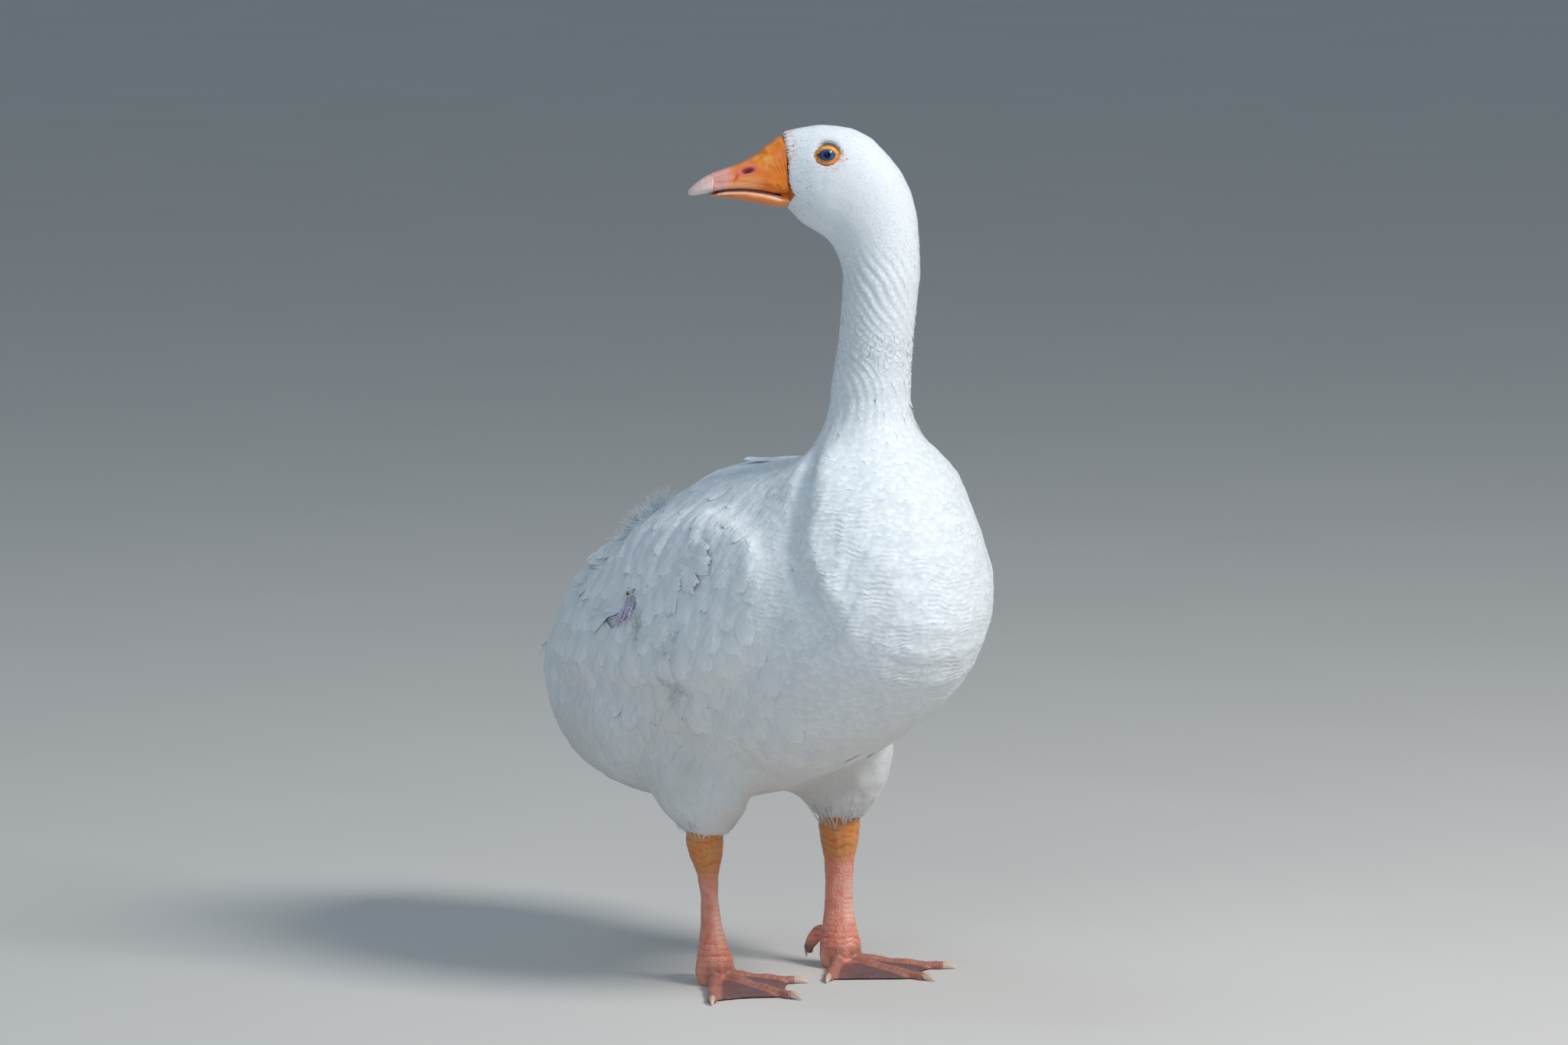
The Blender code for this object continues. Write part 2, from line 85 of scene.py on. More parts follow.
# ---------------------------------------------------------------- places, from the frame
def middle(node):
    low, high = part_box(node)
    return (low + high) / 2


def at(node, x, y, z):
    """The place at these shares of a node's box."""
    low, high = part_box(node)
    return np.array(low + Vector((x, y, z)) * (high - low))


class HeadFrame:
    """The head's own axes: x to the bird's right, y forward along the bill, z up."""

    def __init__(self):
        left, right = middle("eye_left"), middle("eye_right")
        across = (right - left).normalized()
        level = Vector((0, 0, 1)).cross(across)
        tilt = math.radians(HEAD_TILT)
        forward = level * math.cos(tilt) + Vector((0, 0, math.sin(tilt)))
        self.axes = np.array([across, forward, across.cross(forward)])
        self.origin = np.array((left + right) / 2 - forward * EYE_FORWARD)

    def place(self, right, forward, up):
        """A place given in millimetres along the head's own axes."""
        return self.origin + np.array([right, forward, up]) * MM @ self.axes

    def local(self, places):
        """Places in millimetres along the head's own axes."""
        return (places - self.origin) @ self.axes.T / MM


HEAD = HeadFrame()
# Side views in the head's own axes, in millimetres: (forward, up).
FEATHER_EDGE = [(34, -46), (29, -34), (32.3, -24), (33, -15), (33.7, -2.2), (36, 9.4), (38, 16.6)]
MOUTH_LINE = [(29, -34), (39.5, -36.2), (53.9, -32.3), (68.4, -30.5), (82.9, -31.1), (97, -34), (108, -36)]


def feather_edge(up):
    forward, level = zip(*FEATHER_EDGE)
    return np.interp(up, level, forward)


# mm that the feathered face stands over the bill's root, by height: least at the gape.
FACE_OVERLAP = [(-46, 4.0), (-40, 3.6), (-36.5, 1.8), (-32, 1.2), (-27, 2.2), (-10, 3.0), (16, 3.3)]


def face_overlap(up):
    return np.interp(up, *zip(*FACE_OVERLAP))


def mouth_line(forward):
    return np.interp(forward, *zip(*MOUTH_LINE))


# ---------------------------------------------------------------- arrays
def unit(vectors):
    return vectors / np.maximum(np.linalg.norm(vectors, axis=-1, keepdims=True), 1e-12)


def dot(a, b):
    return (a * b).sum(-1, keepdims=True)


def smooth_step(x, low, high):
    t = np.clip((x - low) / (high - low), 0, 1)
    return t * t * (3 - 2 * t)


def triangles_of(mesh):
    """(points, triangles) of a mesh."""
    mesh.calc_loop_triangles()
    points = np.empty(len(mesh.vertices) * 3, np.float32)
    mesh.vertices.foreach_get("co", points)
    corners = np.empty(len(mesh.loop_triangles) * 3, np.int32)
    mesh.loop_triangles.foreach_get("vertices", corners)
    return points.reshape(-1, 3).astype(float), corners.reshape(-1, 3)


def build_mesh(name, points, *face_sets):
    """A smooth-shaded mesh. Each face set is an array with one face to a row."""
    mesh = bpy.data.meshes.new(name)
    mesh.vertices.add(len(points))
    mesh.vertices.foreach_set("co", np.asarray(points, np.float32).ravel())
    corners = np.concatenate([faces.ravel() for faces in face_sets]).astype(np.int32)
    totals = np.concatenate([np.full(len(f), f.shape[1], np.int32) for f in face_sets])
    mesh.loops.add(len(corners))
    mesh.loops.foreach_set("vertex_index", corners)
    mesh.polygons.add(len(totals))
    mesh.polygons.foreach_set("loop_start", (np.cumsum(totals) - totals).astype(np.int32))
    mesh.update(calc_edges=True)
    mesh.shade_smooth()
    return mesh


def add_piece(name, mesh):
    """A new piece of the bird, carried by its one body."""
    obj = bpy.data.objects.new(name, mesh)
    bpy.context.scene.collection.objects.link(obj)
    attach(obj, "root")
    return obj


def set_attribute(mesh, name, values, kind="FLOAT"):
    attribute = mesh.attributes.new(name, kind, "POINT")
    field = "value" if kind == "FLOAT" else "vector"
    attribute.data.foreach_set(field, np.asarray(values, np.float32).ravel())


def set_uv(mesh, name, places):
    """A UV map with one place to each vertex."""
    corners = np.empty(len(mesh.loops), np.int32)
    mesh.loops.foreach_get("vertex_index", corners)
    layer = mesh.uv_layers.new(name=name)
    layer.uv.foreach_set("vector", np.asarray(places, np.float32)[corners].ravel())


def joined(node_names):
    """(points, triangles) of several CAD nodes together."""
    points, triangles, count = [], [], 0
    for name in node_names:
        p, t = triangles_of(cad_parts[name].data)
        points.append(p)
        triangles.append(t + count)
        count += len(p)
    return np.concatenate(points), np.concatenate(triangles)


def remeshed(points, triangles, voxel):
    """One closed surface of even grain round everything given: (points, quads)."""
    obj = bpy.data.objects.new("remesh", build_mesh("remesh", points, triangles))
    bpy.context.scene.collection.objects.link(obj)
    modifier = obj.modifiers.new("voxels", "REMESH")
    modifier.mode = "VOXEL"
    modifier.voxel_size = voxel
    mesh = obj.evaluated_get(bpy.context.evaluated_depsgraph_get()).to_mesh()
    points = np.empty(len(mesh.vertices) * 3, np.float32)
    mesh.vertices.foreach_get("co", points)
    quads = np.empty(len(mesh.loops), np.int32)
    mesh.loops.foreach_get("vertex_index", quads)
    bpy.data.objects.remove(obj)
    return points.reshape(-1, 3).astype(float), quads.reshape(-1, 4)


def edges_of(faces):
    ends = np.stack([faces.ravel(), np.roll(faces, -1, axis=1).ravel()])
    return np.unique(np.sort(ends, axis=0), axis=1)


def averaged(values, edges):
    """Each vertex's mean over its neighbours."""
    count = np.bincount(edges.ravel(), minlength=len(values)).clip(1)
    total = np.stack(
        [
            np.bincount(edges[0], values[edges[1], k], len(values))
            + np.bincount(edges[1], values[edges[0], k], len(values))
            for k in range(values.shape[1])
        ],
        axis=1,
    )
    return total / count[:, None]


def smoothed(points, faces, rounds, keep_size=True):
    """Smooths by a step in each round and, to keep the size, a step out after it."""
    edges = edges_of(faces)
    for _ in range(rounds):
        for pull in (0.5, -0.52) if keep_size else (0.5,):
            points = points + pull * (averaged(points, edges) - points)
    return points


def normals_of(points, faces):
    """Each vertex's normal."""
    across = points[faces[:, 2]] - points[faces[:, 0]]
    along = points[faces[:, -1]] - points[faces[:, 1]]
    normal = np.cross(across, along)
    total = np.zeros_like(points)
    for k in range(faces.shape[1]):
        for axis in range(3):
            total[:, axis] += np.bincount(faces[:, k], normal[:, axis], len(points))
    return unit(total)


def lumps(places, size, seed):
    """Smooth random hills from -1 to 1, about one to each size metres."""
    grid = places / size + 17.3 * seed
    cell = np.floor(grid).astype(np.int64)
    share = grid - cell
    share = share * share * (3 - 2 * share)
    total = np.zeros(len(places))
    for corner in itertools.product((0, 1), repeat=3):
        key = (cell + corner) @ np.array([73856093, 19349663, 83492791]) + seed * 7919
        key = (key ^ (key >> 13)) * 1274126177
        value = ((key >> 12) & 0xFFFF) / 32767.5 - 1
        total += value * np.prod(np.where(corner, share, 1 - share), axis=1)
    return total


def bell(x, centre, width):
    return np.exp(-(((x - centre) / width) ** 2))


def between(x, low, low_full, high_full, high):
    """1 from low_full to high_full, easing to 0 at low and at high."""
    return smooth_step(x, low, low_full) * smooth_step(-x, -high, -high_full)


def scallops(x, gap, shift):
    """0 at a crease every gap metres, and 1 halfway between them."""
    return np.abs(np.sin(math.pi * (x / gap + shift)))


# ---------------------------------------------------------------- folds of the plumage
NECK_TOP, NECK_FOOT = 0.64, 0.44  # heights: where the furrows' slant is measured from, and their end
NECK_Y = middle("neck_upper").y
NECK_RADIUS = 0.031  # metres, for the way round the neck
FURROW_GAP = 0.0072  # between two furrows of the neck
RIPPLE_GAP = 0.0095  # between two ripples of the breast
PLEAT_GAP = 0.021  # between two pleats of the wing

# Where the breast's feathers meet the wing's: y at each height.
CREASE = [(0.25, -0.190), (0.28, -0.205), (0.33, -0.203), (0.36, -0.193), (0.39, -0.179)]
CREASE += [(0.42, -0.169), (0.46, -0.150)]
LEFT_CREASE = 0.55  # the left crease's depth as a share of the right one's
GAP = np.array([-0.126, 0.004, 0.316])  # the moulted patch on the right wing
GAP_SIZE = np.array([0.02, 0.020, 0.016])  # its reach each way
GAP_DEPTH = 0.0045


def from_gap(places):
    """How far each place is from the moulted patch's middle, as a share of the patch's reach."""
    return np.linalg.norm((places - GAP) / GAP_SIZE, axis=-1)


def neck_relief(places):
    """Slanting furrows from the throat down to the foot of the neck."""
    x, y, z = places.T
    down = NECK_TOP - z
    turn = smooth_step(z, 0.47, 0.60)[:, None]
    front = unit(HEAD.axes[1][:2] * turn + np.array([0, -1]) * (1 - turn))
    out = unit(np.stack([x, y - NECK_Y], 1))
    round_neck = NECK_RADIUS * np.arccos(np.clip((out * front).sum(1), -1, 1))
    slant = 0.85 * round_neck - (0.62 * down - 1.7 * down**2)
    phase = slant / FURROW_GAP + 0.45 * lumps(places, 0.022, 3)
    furrow = np.sqrt(0.02 + np.sin(math.pi * phase) ** 2) - 0.72
    return between(z, NECK_FOOT, 0.53, 0.592, 0.628) * furrow * (0.0011 + 0.0004 * lumps(places, 0.03, 4))


def body_relief(places):
    """Broken ripples and soft lumps all over the body."""
    z = places[:, 2]
    ripple = np.sin(2 * math.pi * (z / RIPPLE_GAP + 0.9 * lumps(places, 0.035, 5)))
    ripple = 0.00028 * ripple * np.clip(0.4 + lumps(places, 0.028, 6), 0, 1)
    swell = 0.0011 * lumps(places, 0.034, 7) + 0.0005 * lumps(places, 0.014, 8)
    return (1 - smooth_step(z, 0.42, 0.48)) * (ripple + swell)


def wing_relief(places):
    """The crease in front of each wing, the wing's pleats and the dip of the moulted patch."""
    x, y, z = places.T
    across = 0.75 * (np.interp(z, *zip(*CREASE)) - y) + 0.010 * lumps(places * [0, 0, 1], 0.05, 11)
    crease = between(z, 0.27, 0.37, 0.445, 0.470) * smooth_step(np.abs(x), 0.02, 0.045)
    crease *= np.where(x > 0, LEFT_CREASE, 1.0)
    height = crease * (0.0040 * bell(across, 0.013, 0.010) - 0.0072 * bell(across, -0.003, 0.0080))
    height -= GAP_DEPTH * (1 - smooth_step(from_gap(places), 0.55, 1.15))
    pleat = scallops(y, PLEAT_GAP, 0.5 * lumps(places, 0.05, 9)) - 0.6
    flank = smooth_step(np.abs(x), 0.06, 0.10) * between(y, -0.13, -0.07, 0.06, 0.12)
    return height + 0.0016 * pleat * flank * between(z, 0.20, 0.27, 0.39, 0.43)


def relief(places):
    """How far the plumage stands proud of its smooth form, in metres."""
    return neck_relief(places) + body_relief(places) + wing_relief(places)


class Surface:
    """A closed surface that feathers are laid on."""

    def __init__(self, points, quads):
        self.points, self.quads = points, quads
        self.normals = normals_of(points, quads)
        self.face_normals = unit(self.normals[quads].mean(axis=1))
        self.tree = BVHTree.FromPolygons(points.tolist(), quads.tolist())

    def nearest(self, places):
        """(the nearest places on the surface, the normals there)."""
        shape = places.shape
        found = [self.tree.find_nearest(p) for p in places.reshape(-1, 3).tolist()]
        spots = np.array([f[0].to_tuple() for f in found])
        faces = np.array([f[2] for f in found])
        corners = self.quads[faces]
        apart = ((self.points[corners] - spots[:, None]) ** 2).sum(-1) + 1e-8
        share = 1 / apart
        normals = unit((self.normals[corners] * share[..., None]).sum(1))
        return spots.reshape(shape), normals.reshape(shape)

    def scattered(self, spacing):
        """Places spread over the surface, each keeping its own spacing from the others."""
        corners = self.points[self.quads]
        areas = np.linalg.norm(
            np.cross(corners[:, 2] - corners[:, 0], corners[:, 3] - corners[:, 1]), axis=1
        ) / 2
        gaps = spacing(corners.mean(axis=1), self.face_normals)
        tries = 5.0 * areas / gaps**2
        count = np.floor(tries + RNG.random(len(tries))).astype(int)
        faces = np.repeat(np.arange(len(self.quads)), count)
        faces = faces[RNG.permutation(len(faces))]
        u, v = RNG.random((2, len(faces), 1))
        c = corners[faces]
        places = (c[:, 0] * (1 - u) + c[:, 1] * u) * (1 - v) + (c[:, 3] * (1 - u) + c[:, 2] * u) * v
        kept = spread(places, gaps[faces])
        return places[kept], self.face_normals[faces[kept]]


def spread(places, gaps):
    """Indices of the places that keep their gap from all taken before them."""
    octave = np.round(np.log(gaps) / math.log(1.3)).astype(int)
    kept = []
    for level in np.unique(octave):
        index = np.flatnonzero(octave == level)
        gap = 1.3**level
        cells = {}
        keys = np.floor(places[index] / gap).astype(int).tolist()
        spots = places[index].tolist()
        reach = list(itertools.product((-1, 0, 1), repeat=3))
        limit = gap * gap
        for n, ((a, b, c), (x, y, z)) in enumerate(zip(keys, spots)):
            near = False
            for i, j, k in reach:
                for px, py, pz in cells.get((a + i, b + j, c + k), ()):
                    if (px - x) ** 2 + (py - y) ** 2 + (pz - z) ** 2 < limit:
                        near = True
                        break
                if near:
                    break
            if not near:
                cells.setdefault((a, b, c), []).append((x, y, z))
                kept.append(index[n])
    return np.array(kept)


# ---------------------------------------------------------------- the lie of the coat
# Along the bird's middle: the feathers' length below and above it, and the coat's depth, in mm.
Station = namedtuple("Station", "point under over depth")
STATIONS = [
    Station(HEAD.place(0, 62, -22), 3.2, 3.2, 0.9),
    Station(HEAD.place(0, 34, -16), 3.6, 3.5, 0.9),
    Station(HEAD.place(0, 4, -24), 4.8, 5.0, 1.2),
    Station(HEAD.place(0, -27, -50), 7.0, 7.2, 2.0),
    Station(HEAD.place(0, -43, -98), 10.5, 11.0, 3.4),
    Station(at("neck_upper", 0.5, 0.54, 0.5), 13.0, 14.0, 4.0),
    Station(at("neck_upper", 0.5, 0.42, 0.0), 15.0, 16.0, 4.4),
    Station(at("neck_lower", 0.5, 0.56, 0.5), 18.0, 19.0, 5.0),
    Station(at("trunk", 0.5, 0.22, 0.84), 24.0, 30.0, 6.0),
    Station(at("trunk", 0.5, 0.33, 0.63), 30.0, 40.0, 7.0),
    Station(at("trunk", 0.5, 0.49, 0.55), 35.0, 46.0, 8.0),
    Station(at("trunk", 0.5, 0.67, 0.48), 38.0, 48.0, 8.5),
    Station(at("trunk", 0.5, 0.83, 0.40), 40.0, 48.0, 9.0),
    Station(at("tail", 0.5, 0.6, 0.4), 42.0, 46.0, 6.0),
    Station(at("tail", 0.5, 1.0, 0.1), 42.0, 46.0, 2.0),
]
SPINE_SAMPLES = 90
CHUNK = 20000  # places weighed at one time, to save memory


class Lie:
    """How the coat lies: its way, length and depth at any place."""

    def __init__(self):
        knots = np.array([s.point for s in STATIONS])
        lengths = np.linalg.norm(np.diff(knots, axis=0), axis=1)
        self.knot_run = np.concatenate([[0], np.cumsum(lengths)])
        self.run = np.linspace(0, self.knot_run[-1], SPINE_SAMPLES)
        self.spine = np.stack([np.interp(self.run, self.knot_run, knots[:, k]) for k in range(3)], 1)
        blur = np.array([1, 4, 6, 4, 1]) / 16
        for _ in range(3):
            padded = np.pad(self.spine, ((2, 2), (0, 0)), mode="reflect", reflect_type="odd")
            self.spine = sum(w * padded[k : k + SPINE_SAMPLES] for k, w in enumerate(blur))
        self.ways = unit(np.gradient(self.spine, axis=0))
        self.thighs = {side: np.array(middle(f"thigh_{side}")) for side in SIDES}

    def weights(self, places):
        apart = ((places[:, None, :] - self.spine[None]) ** 2).sum(-1)
        weight = 1 / (apart + 4e-5) ** 2
        return weight / weight.sum(1, keepdims=True)

    def blended(self, places, values):
        """Values given along the spine, read at any place. The nearest count most."""
        parts = np.array_split(places, 1 + len(places) // CHUNK)
        return np.concatenate([self.weights(part) @ values for part in parts])

    def along(self, places):
        """How far along the spine each place lies, in metres."""
        return self.blended(places, self.run)

    def thigh_share(self, places):
        """1 on a feathered thigh, 0 away from both."""
        share = np.zeros(len(places))
        for side, centre in self.thighs.items():
            low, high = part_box(f"thigh_{side}")
            reach = np.array(high - low) / 2
            e = np.hypot(*((places - centre)[:, :2] / reach[:2]).T)
            level = high.z - places[:, 2]
            share = np.maximum(share, smooth_step(-e, -1.25, -0.9) * smooth_step(level, -0.005, 0.04))
        return share

    def way(self, places, normals):
        """The way that feathers point, along the surface."""
        way = self.blended(places, self.ways)
        x, y, z = places.T
        flank = smooth_step(y, -0.14, -0.05) * between(z, 0.15, 0.22, 0.42, 0.46)
        way[:, 2] -= np.abs(normals[:, 0]) * flank
        rear = smooth_step(y, 0.12, 0.19)[:, None]
        way = way * (1 - rear) + rear * np.stack([2 * x, np.ones(len(x)), np.full(len(x), -0.3)], 1)
        thigh = self.thigh_share(places)[:, None]
        way = way * (1 - thigh) + thigh * np.array([0, 0.15, -1.0])
        return unit(way - normals * dot(way, normals))

    def measure(self, places, normals, name_under, name_over):
        """A station value, in metres, read along the spine and round from below to above."""
        run = self.along(places)
        under, over = (
            np.interp(run, self.knot_run, [getattr(s, name) for s in STATIONS])
            for name in (name_under, name_over)
        )
        above = smooth_step(normals[:, 2], -0.1, 0.6)
        return (under + (over - under) * above) * MM

    def unrolled(self, places):
        """Each place on a map of the skin: round the body by angle and along it by distance."""
        run = self.along(places)
        nearest = np.stack([np.interp(run, self.run, self.spine[:, k]) for k in range(3)], 1)
        out = places - nearest
        turn = np.arctan2(out[:, 0], out[:, 1] + out[:, 2])
        place = np.stack([0.5 + turn / (2 * math.pi) * 0.99, 0.5 * run / self.run[-1]], 1)
        thigh = self.thigh_share(places) > 0.5
        for side, centre in self.thighs.items():
            own = thigh & (np.sign(places[:, 0]) == SIDES[side])
            turn = np.arctan2(*(places[own] - centre)[:, :2].T) / (2 * math.pi)
            place[own, 0] = 0.5 + SIDES[side] * 0.25 + 0.49 * turn
            place[own, 1] = 0.55 + 1.5 * (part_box("thigh_left")[1].z - places[own, 2])
        return place

    def thighs_own(self, places, body, at_hock, rise):
        """The body's values, and on a thigh others that grow by rise from the hock up."""
        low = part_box("thigh_left")[0].z
        own = at_hock + rise * smooth_step(places[:, 2], low, low + 0.06)
        share = self.thigh_share(places)
        return body * (1 - share) + own * share

    def length(self, places, normals):
        return self.thighs_own(places, self.measure(places, normals, "under", "over"), 0.011, 0.016)

    def depth(self, places, normals):
        return self.thighs_own(places, self.measure(places, normals, "depth", "depth"), 0.003, 0.004)


LIE = Lie()


# ---------------------------------------------------------------- feather vanes
# A vane's outline: rows along it, columns across, its width at the root and at the very tip as
# shares of its full width, and how ragged its end is, as a share of its length.
Vane = namedtuple("Vane", "rows columns root tip rag")
TINY = Vane(3, 3, 0.70, 0.25, 0.00)
NARROW = Vane(4, 3, 0.70, 0.36, 0.03)
CONTOUR = Vane(6, 5, 0.45, 0.42, 0.05)
BROAD = Vane(8, 7, 0.35, 0.45, 0.05)
TORN = Vane(9, 21, 0.35, 0.55, 0.08)
STRAND = Vane(7, 3, 0.7, 0.10, 0.0)
PENNA = Vane(9, 11, 0.40, 0.45, 0.07)
RECTRIX = Vane(9, 9, 0.40, 0.28, 0.02)
QUILL = Vane(5, 5, 0.9, 0.40, 0.0)
VANE_THICKNESS = (0.00005, 0.006)  # metres, and a share of the width more
SAG = np.array([0, 0, -0.12])  # how a free vane's way turns down along it
GRADIENT_STEP = 0.0008  # metres, for the slope of the folds
BAKE_PATCH = 0.003  # how much of the bake's picture one vane takes, along and across


def vane_quads(vane):
    """(quads of the upper side, quads of the underside). Both sides share the vane's outline."""
    top = np.arange(vane.rows * vane.columns).reshape(vane.rows, vane.columns)
    below = top.copy()
    inner = (vane.rows - 2) * (vane.columns - 2)
    below[1:-1, 1:-1] = top.size + np.arange(inner).reshape(vane.rows - 2, vane.columns - 2)
    sides = []
    for grid, turned in ((top, False), (below, True)):
        quads = np.stack([grid[:-1, :-1], grid[1:, :-1], grid[1:, 1:], grid[:-1, 1:]], -1).reshape(-1, 4)
        sides.append(quads[:, ::-1] if turned else quads)
    return sides


def folded(spots, normals):
    """Places moved out to the folds of the plumage, and the normals there."""
    flat, up = spots.reshape(-1, 3), normals.reshape(-1, 3)
    height = relief(flat)
    one = unit(np.cross(up, np.array([0.3, 0.5, 0.81])))
    two = np.cross(up, one)
    slopes = [(relief(flat + GRADIENT_STEP * axis) - height) / GRADIENT_STEP for axis in (one, two)]
    tilted = unit(up - one * slopes[0][:, None] - two * slopes[1][:, None])
    return (flat + up * height[:, None]).reshape(spots.shape), tilted.reshape(normals.shape)


def clung(surface, guess, normal, reach):
    """Places moved onto the surface, and its normals. Where it turns away or is out of reach, both
    stay as they are."""
    near, up = surface.nearest(guess)
    away = (dot(up, normal) < 0.3) | (np.linalg.norm(near - guess, axis=-1, keepdims=True) > reach)
    return np.where(away, guess, near), np.where(away, normal, up)


def centre_line(surface, share, roots, normals, ways, length, curl, cling):
    """(place, normal, way) along the middle of each vane, row by row."""
    centre, normal, way = roots, normals, ways
    rows = [(centre, normal, way)]
    for step in np.diff(share):
        way = unit(way + np.cross(normal, way) * curl * step)
        centre = centre + way * length * step
        if cling:
            centre, normal = clung(surface, centre, normal, 0.5 * length)
        else:
            way = unit(way + SAG * step)
        way = unit(way - normal * dot(way, normal))
        rows.append((centre, normal, way))
    return rows


class Feathers:
    """Vanes laid on a surface, gathered as arrays."""

    def __init__(self):
        self.points, self.corner_normals, self.sets, self.bake, self.vane = [], [], [], [], []
        self.tint, self.blush, self.tip, self.count = [], [], [], 0

    def lay(self, surface, vane, roots, normals, ways, sizes, soft=0.5, cling=True):
        """sizes: length, width, depth, lift, camber, and if wanted curl, roll and blush. A vane
        that clings follows the surface; any other one runs straight on and sags a little. soft is
        how much the vane's own form shows in its shading, against the surface's."""
        total = len(roots)
        if not total:
            return
        sizes = {"curl": 0.0, "roll": 0.0, "blush": 0.0, **sizes}
        length, width, depth, lift, camber, curl, roll = (
            np.broadcast_to(np.asarray(sizes[k], float), total)[:, None]
            for k in ("length", "width", "depth", "lift", "camber", "curl", "roll")
        )
        share = 1 - (1 - np.linspace(0, 1, vane.rows)) ** 1.35
        rows = centre_line(surface, share, roots, normals, ways, length, curl, cling)
        across = np.linspace(-1, 1, vane.columns)
        swell = smooth_step(share, 0, 0.5) * (1 - vane.root) + vane.root
        late = np.clip((share - 0.45) / 0.55, 0, 1)
        taper = np.sqrt(1 - late**2 * (1 - vane.tip**2))
        rag = RNG.random((total, vane.columns)) * vane.rag
        points = np.empty((total, vane.rows, vane.columns, 3))
        calm = np.empty_like(points)
        flat = np.empty((total, vane.rows, vane.columns, 2))
        for k, (centre, normal, way) in enumerate(rows):
            half = width / 2 * swell[k] * taper[k]
            side = np.cross(normal, way)
            back = rag * share[k] ** 3
            spot = centre[:, None] + side[:, None] * (half * across)[..., None]
            spot = spot - way[:, None] * (length * back)[..., None]
            up = np.broadcast_to(normal[:, None], spot.shape)
            if cling:
                if vane.columns > 3:
                    spot, up = clung(surface, spot, normal[:, None], 0.4 * length[:, None])
                spot, up = folded(spot, up)
            bow = camber * half * (1 - across**2)
            sink = depth * (1 - share[k]) ** 1.5
            rise = lift * share[k] ** 2 + roll * half * across * share[k]
            points[:, k] = spot + up * (bow - sink + rise)[..., None]
            calm[:, k] = up
            flat[:, k, :, 0] = half * across
            flat[:, k, :, 1] = length * (share[k] - back)
        true = unit(np.cross(np.gradient(points, axis=1), np.gradient(points, axis=2)))
        shade = np.where(dot(calm, true) > 0.2, unit(calm + soft * (true - calm)), true)
        flesh = (VANE_THICKNESS[0] + VANE_THICKNESS[1] * width)[..., None, None]
        flesh = flesh * (1 - across[1:-1, None] ** 2)
        under = points[:, 1:-1, 1:-1] - flesh * true[:, 1:-1, 1:-1]
        inner = (vane.rows - 2) * (vane.columns - 2)
        each = vane.rows * vane.columns + inner

        def with_underside(values):
            copied = values[:, 1:-1, 1:-1].reshape(total, inner, -1)
            return np.concatenate([values.reshape(total, each - inner, -1), copied], 1)

        along = np.broadcast_to(share[None, :, None, None], (total, vane.rows, vane.columns, 1))
        self.tip.append(with_underside(along).ravel())
        flat, shade, true = with_underside(flat), with_underside(shade), with_underside(true)
        points = np.concatenate([points.reshape(total, -1, 3), under.reshape(total, -1, 3)], 1)
        upper, lower = vane_quads(vane)
        offset = self.count + np.arange(total)[:, None, None] * each
        self.sets.append((offset + np.concatenate([upper, lower])).reshape(-1, 4))
        facing = np.concatenate([shade[:, upper], -true[:, lower]], 1)
        self.points.append(points.reshape(-1, 3))
        self.corner_normals.append(facing.reshape(-1, 3))
        self.vane.append(flat.reshape(-1, 2))
        self.bake.append(self.bake_places(roots, flat, length, width))
        self.tint.append(np.repeat(RNG.random(total), each))
        self.blush.append(np.repeat(np.broadcast_to(sizes["blush"], total), each))
        self.count += total * each

    @staticmethod
    def bake_places(roots, flat, length, width):
        """Each vane as a small patch, at its root's place on the unrolled skin."""
        patch = np.stack([flat[..., 0] / width + 0.5, flat[..., 1] / length], -1)
        return (LIE.unrolled(roots)[:, None] + BAKE_PATCH * patch).reshape(-1, 2)

    def piece(self, name, material):
        points = np.concatenate(self.points)
        mesh = build_mesh(name, points, *self.sets)
        set_uv(mesh, "OFBake", np.concatenate(self.bake))
        set_uv(mesh, "vane", np.concatenate(self.vane))
        for attribute in ("tint", "tip", "blush"):
            set_attribute(mesh, attribute, np.concatenate(getattr(self, attribute)))
        mesh.normals_split_custom_set(np.concatenate(self.corner_normals))
        mesh.materials.append(material)
        add_piece(name, mesh)
        print(f"{name}: {sum(2 * len(quads) for quads in self.sets)} triangles")


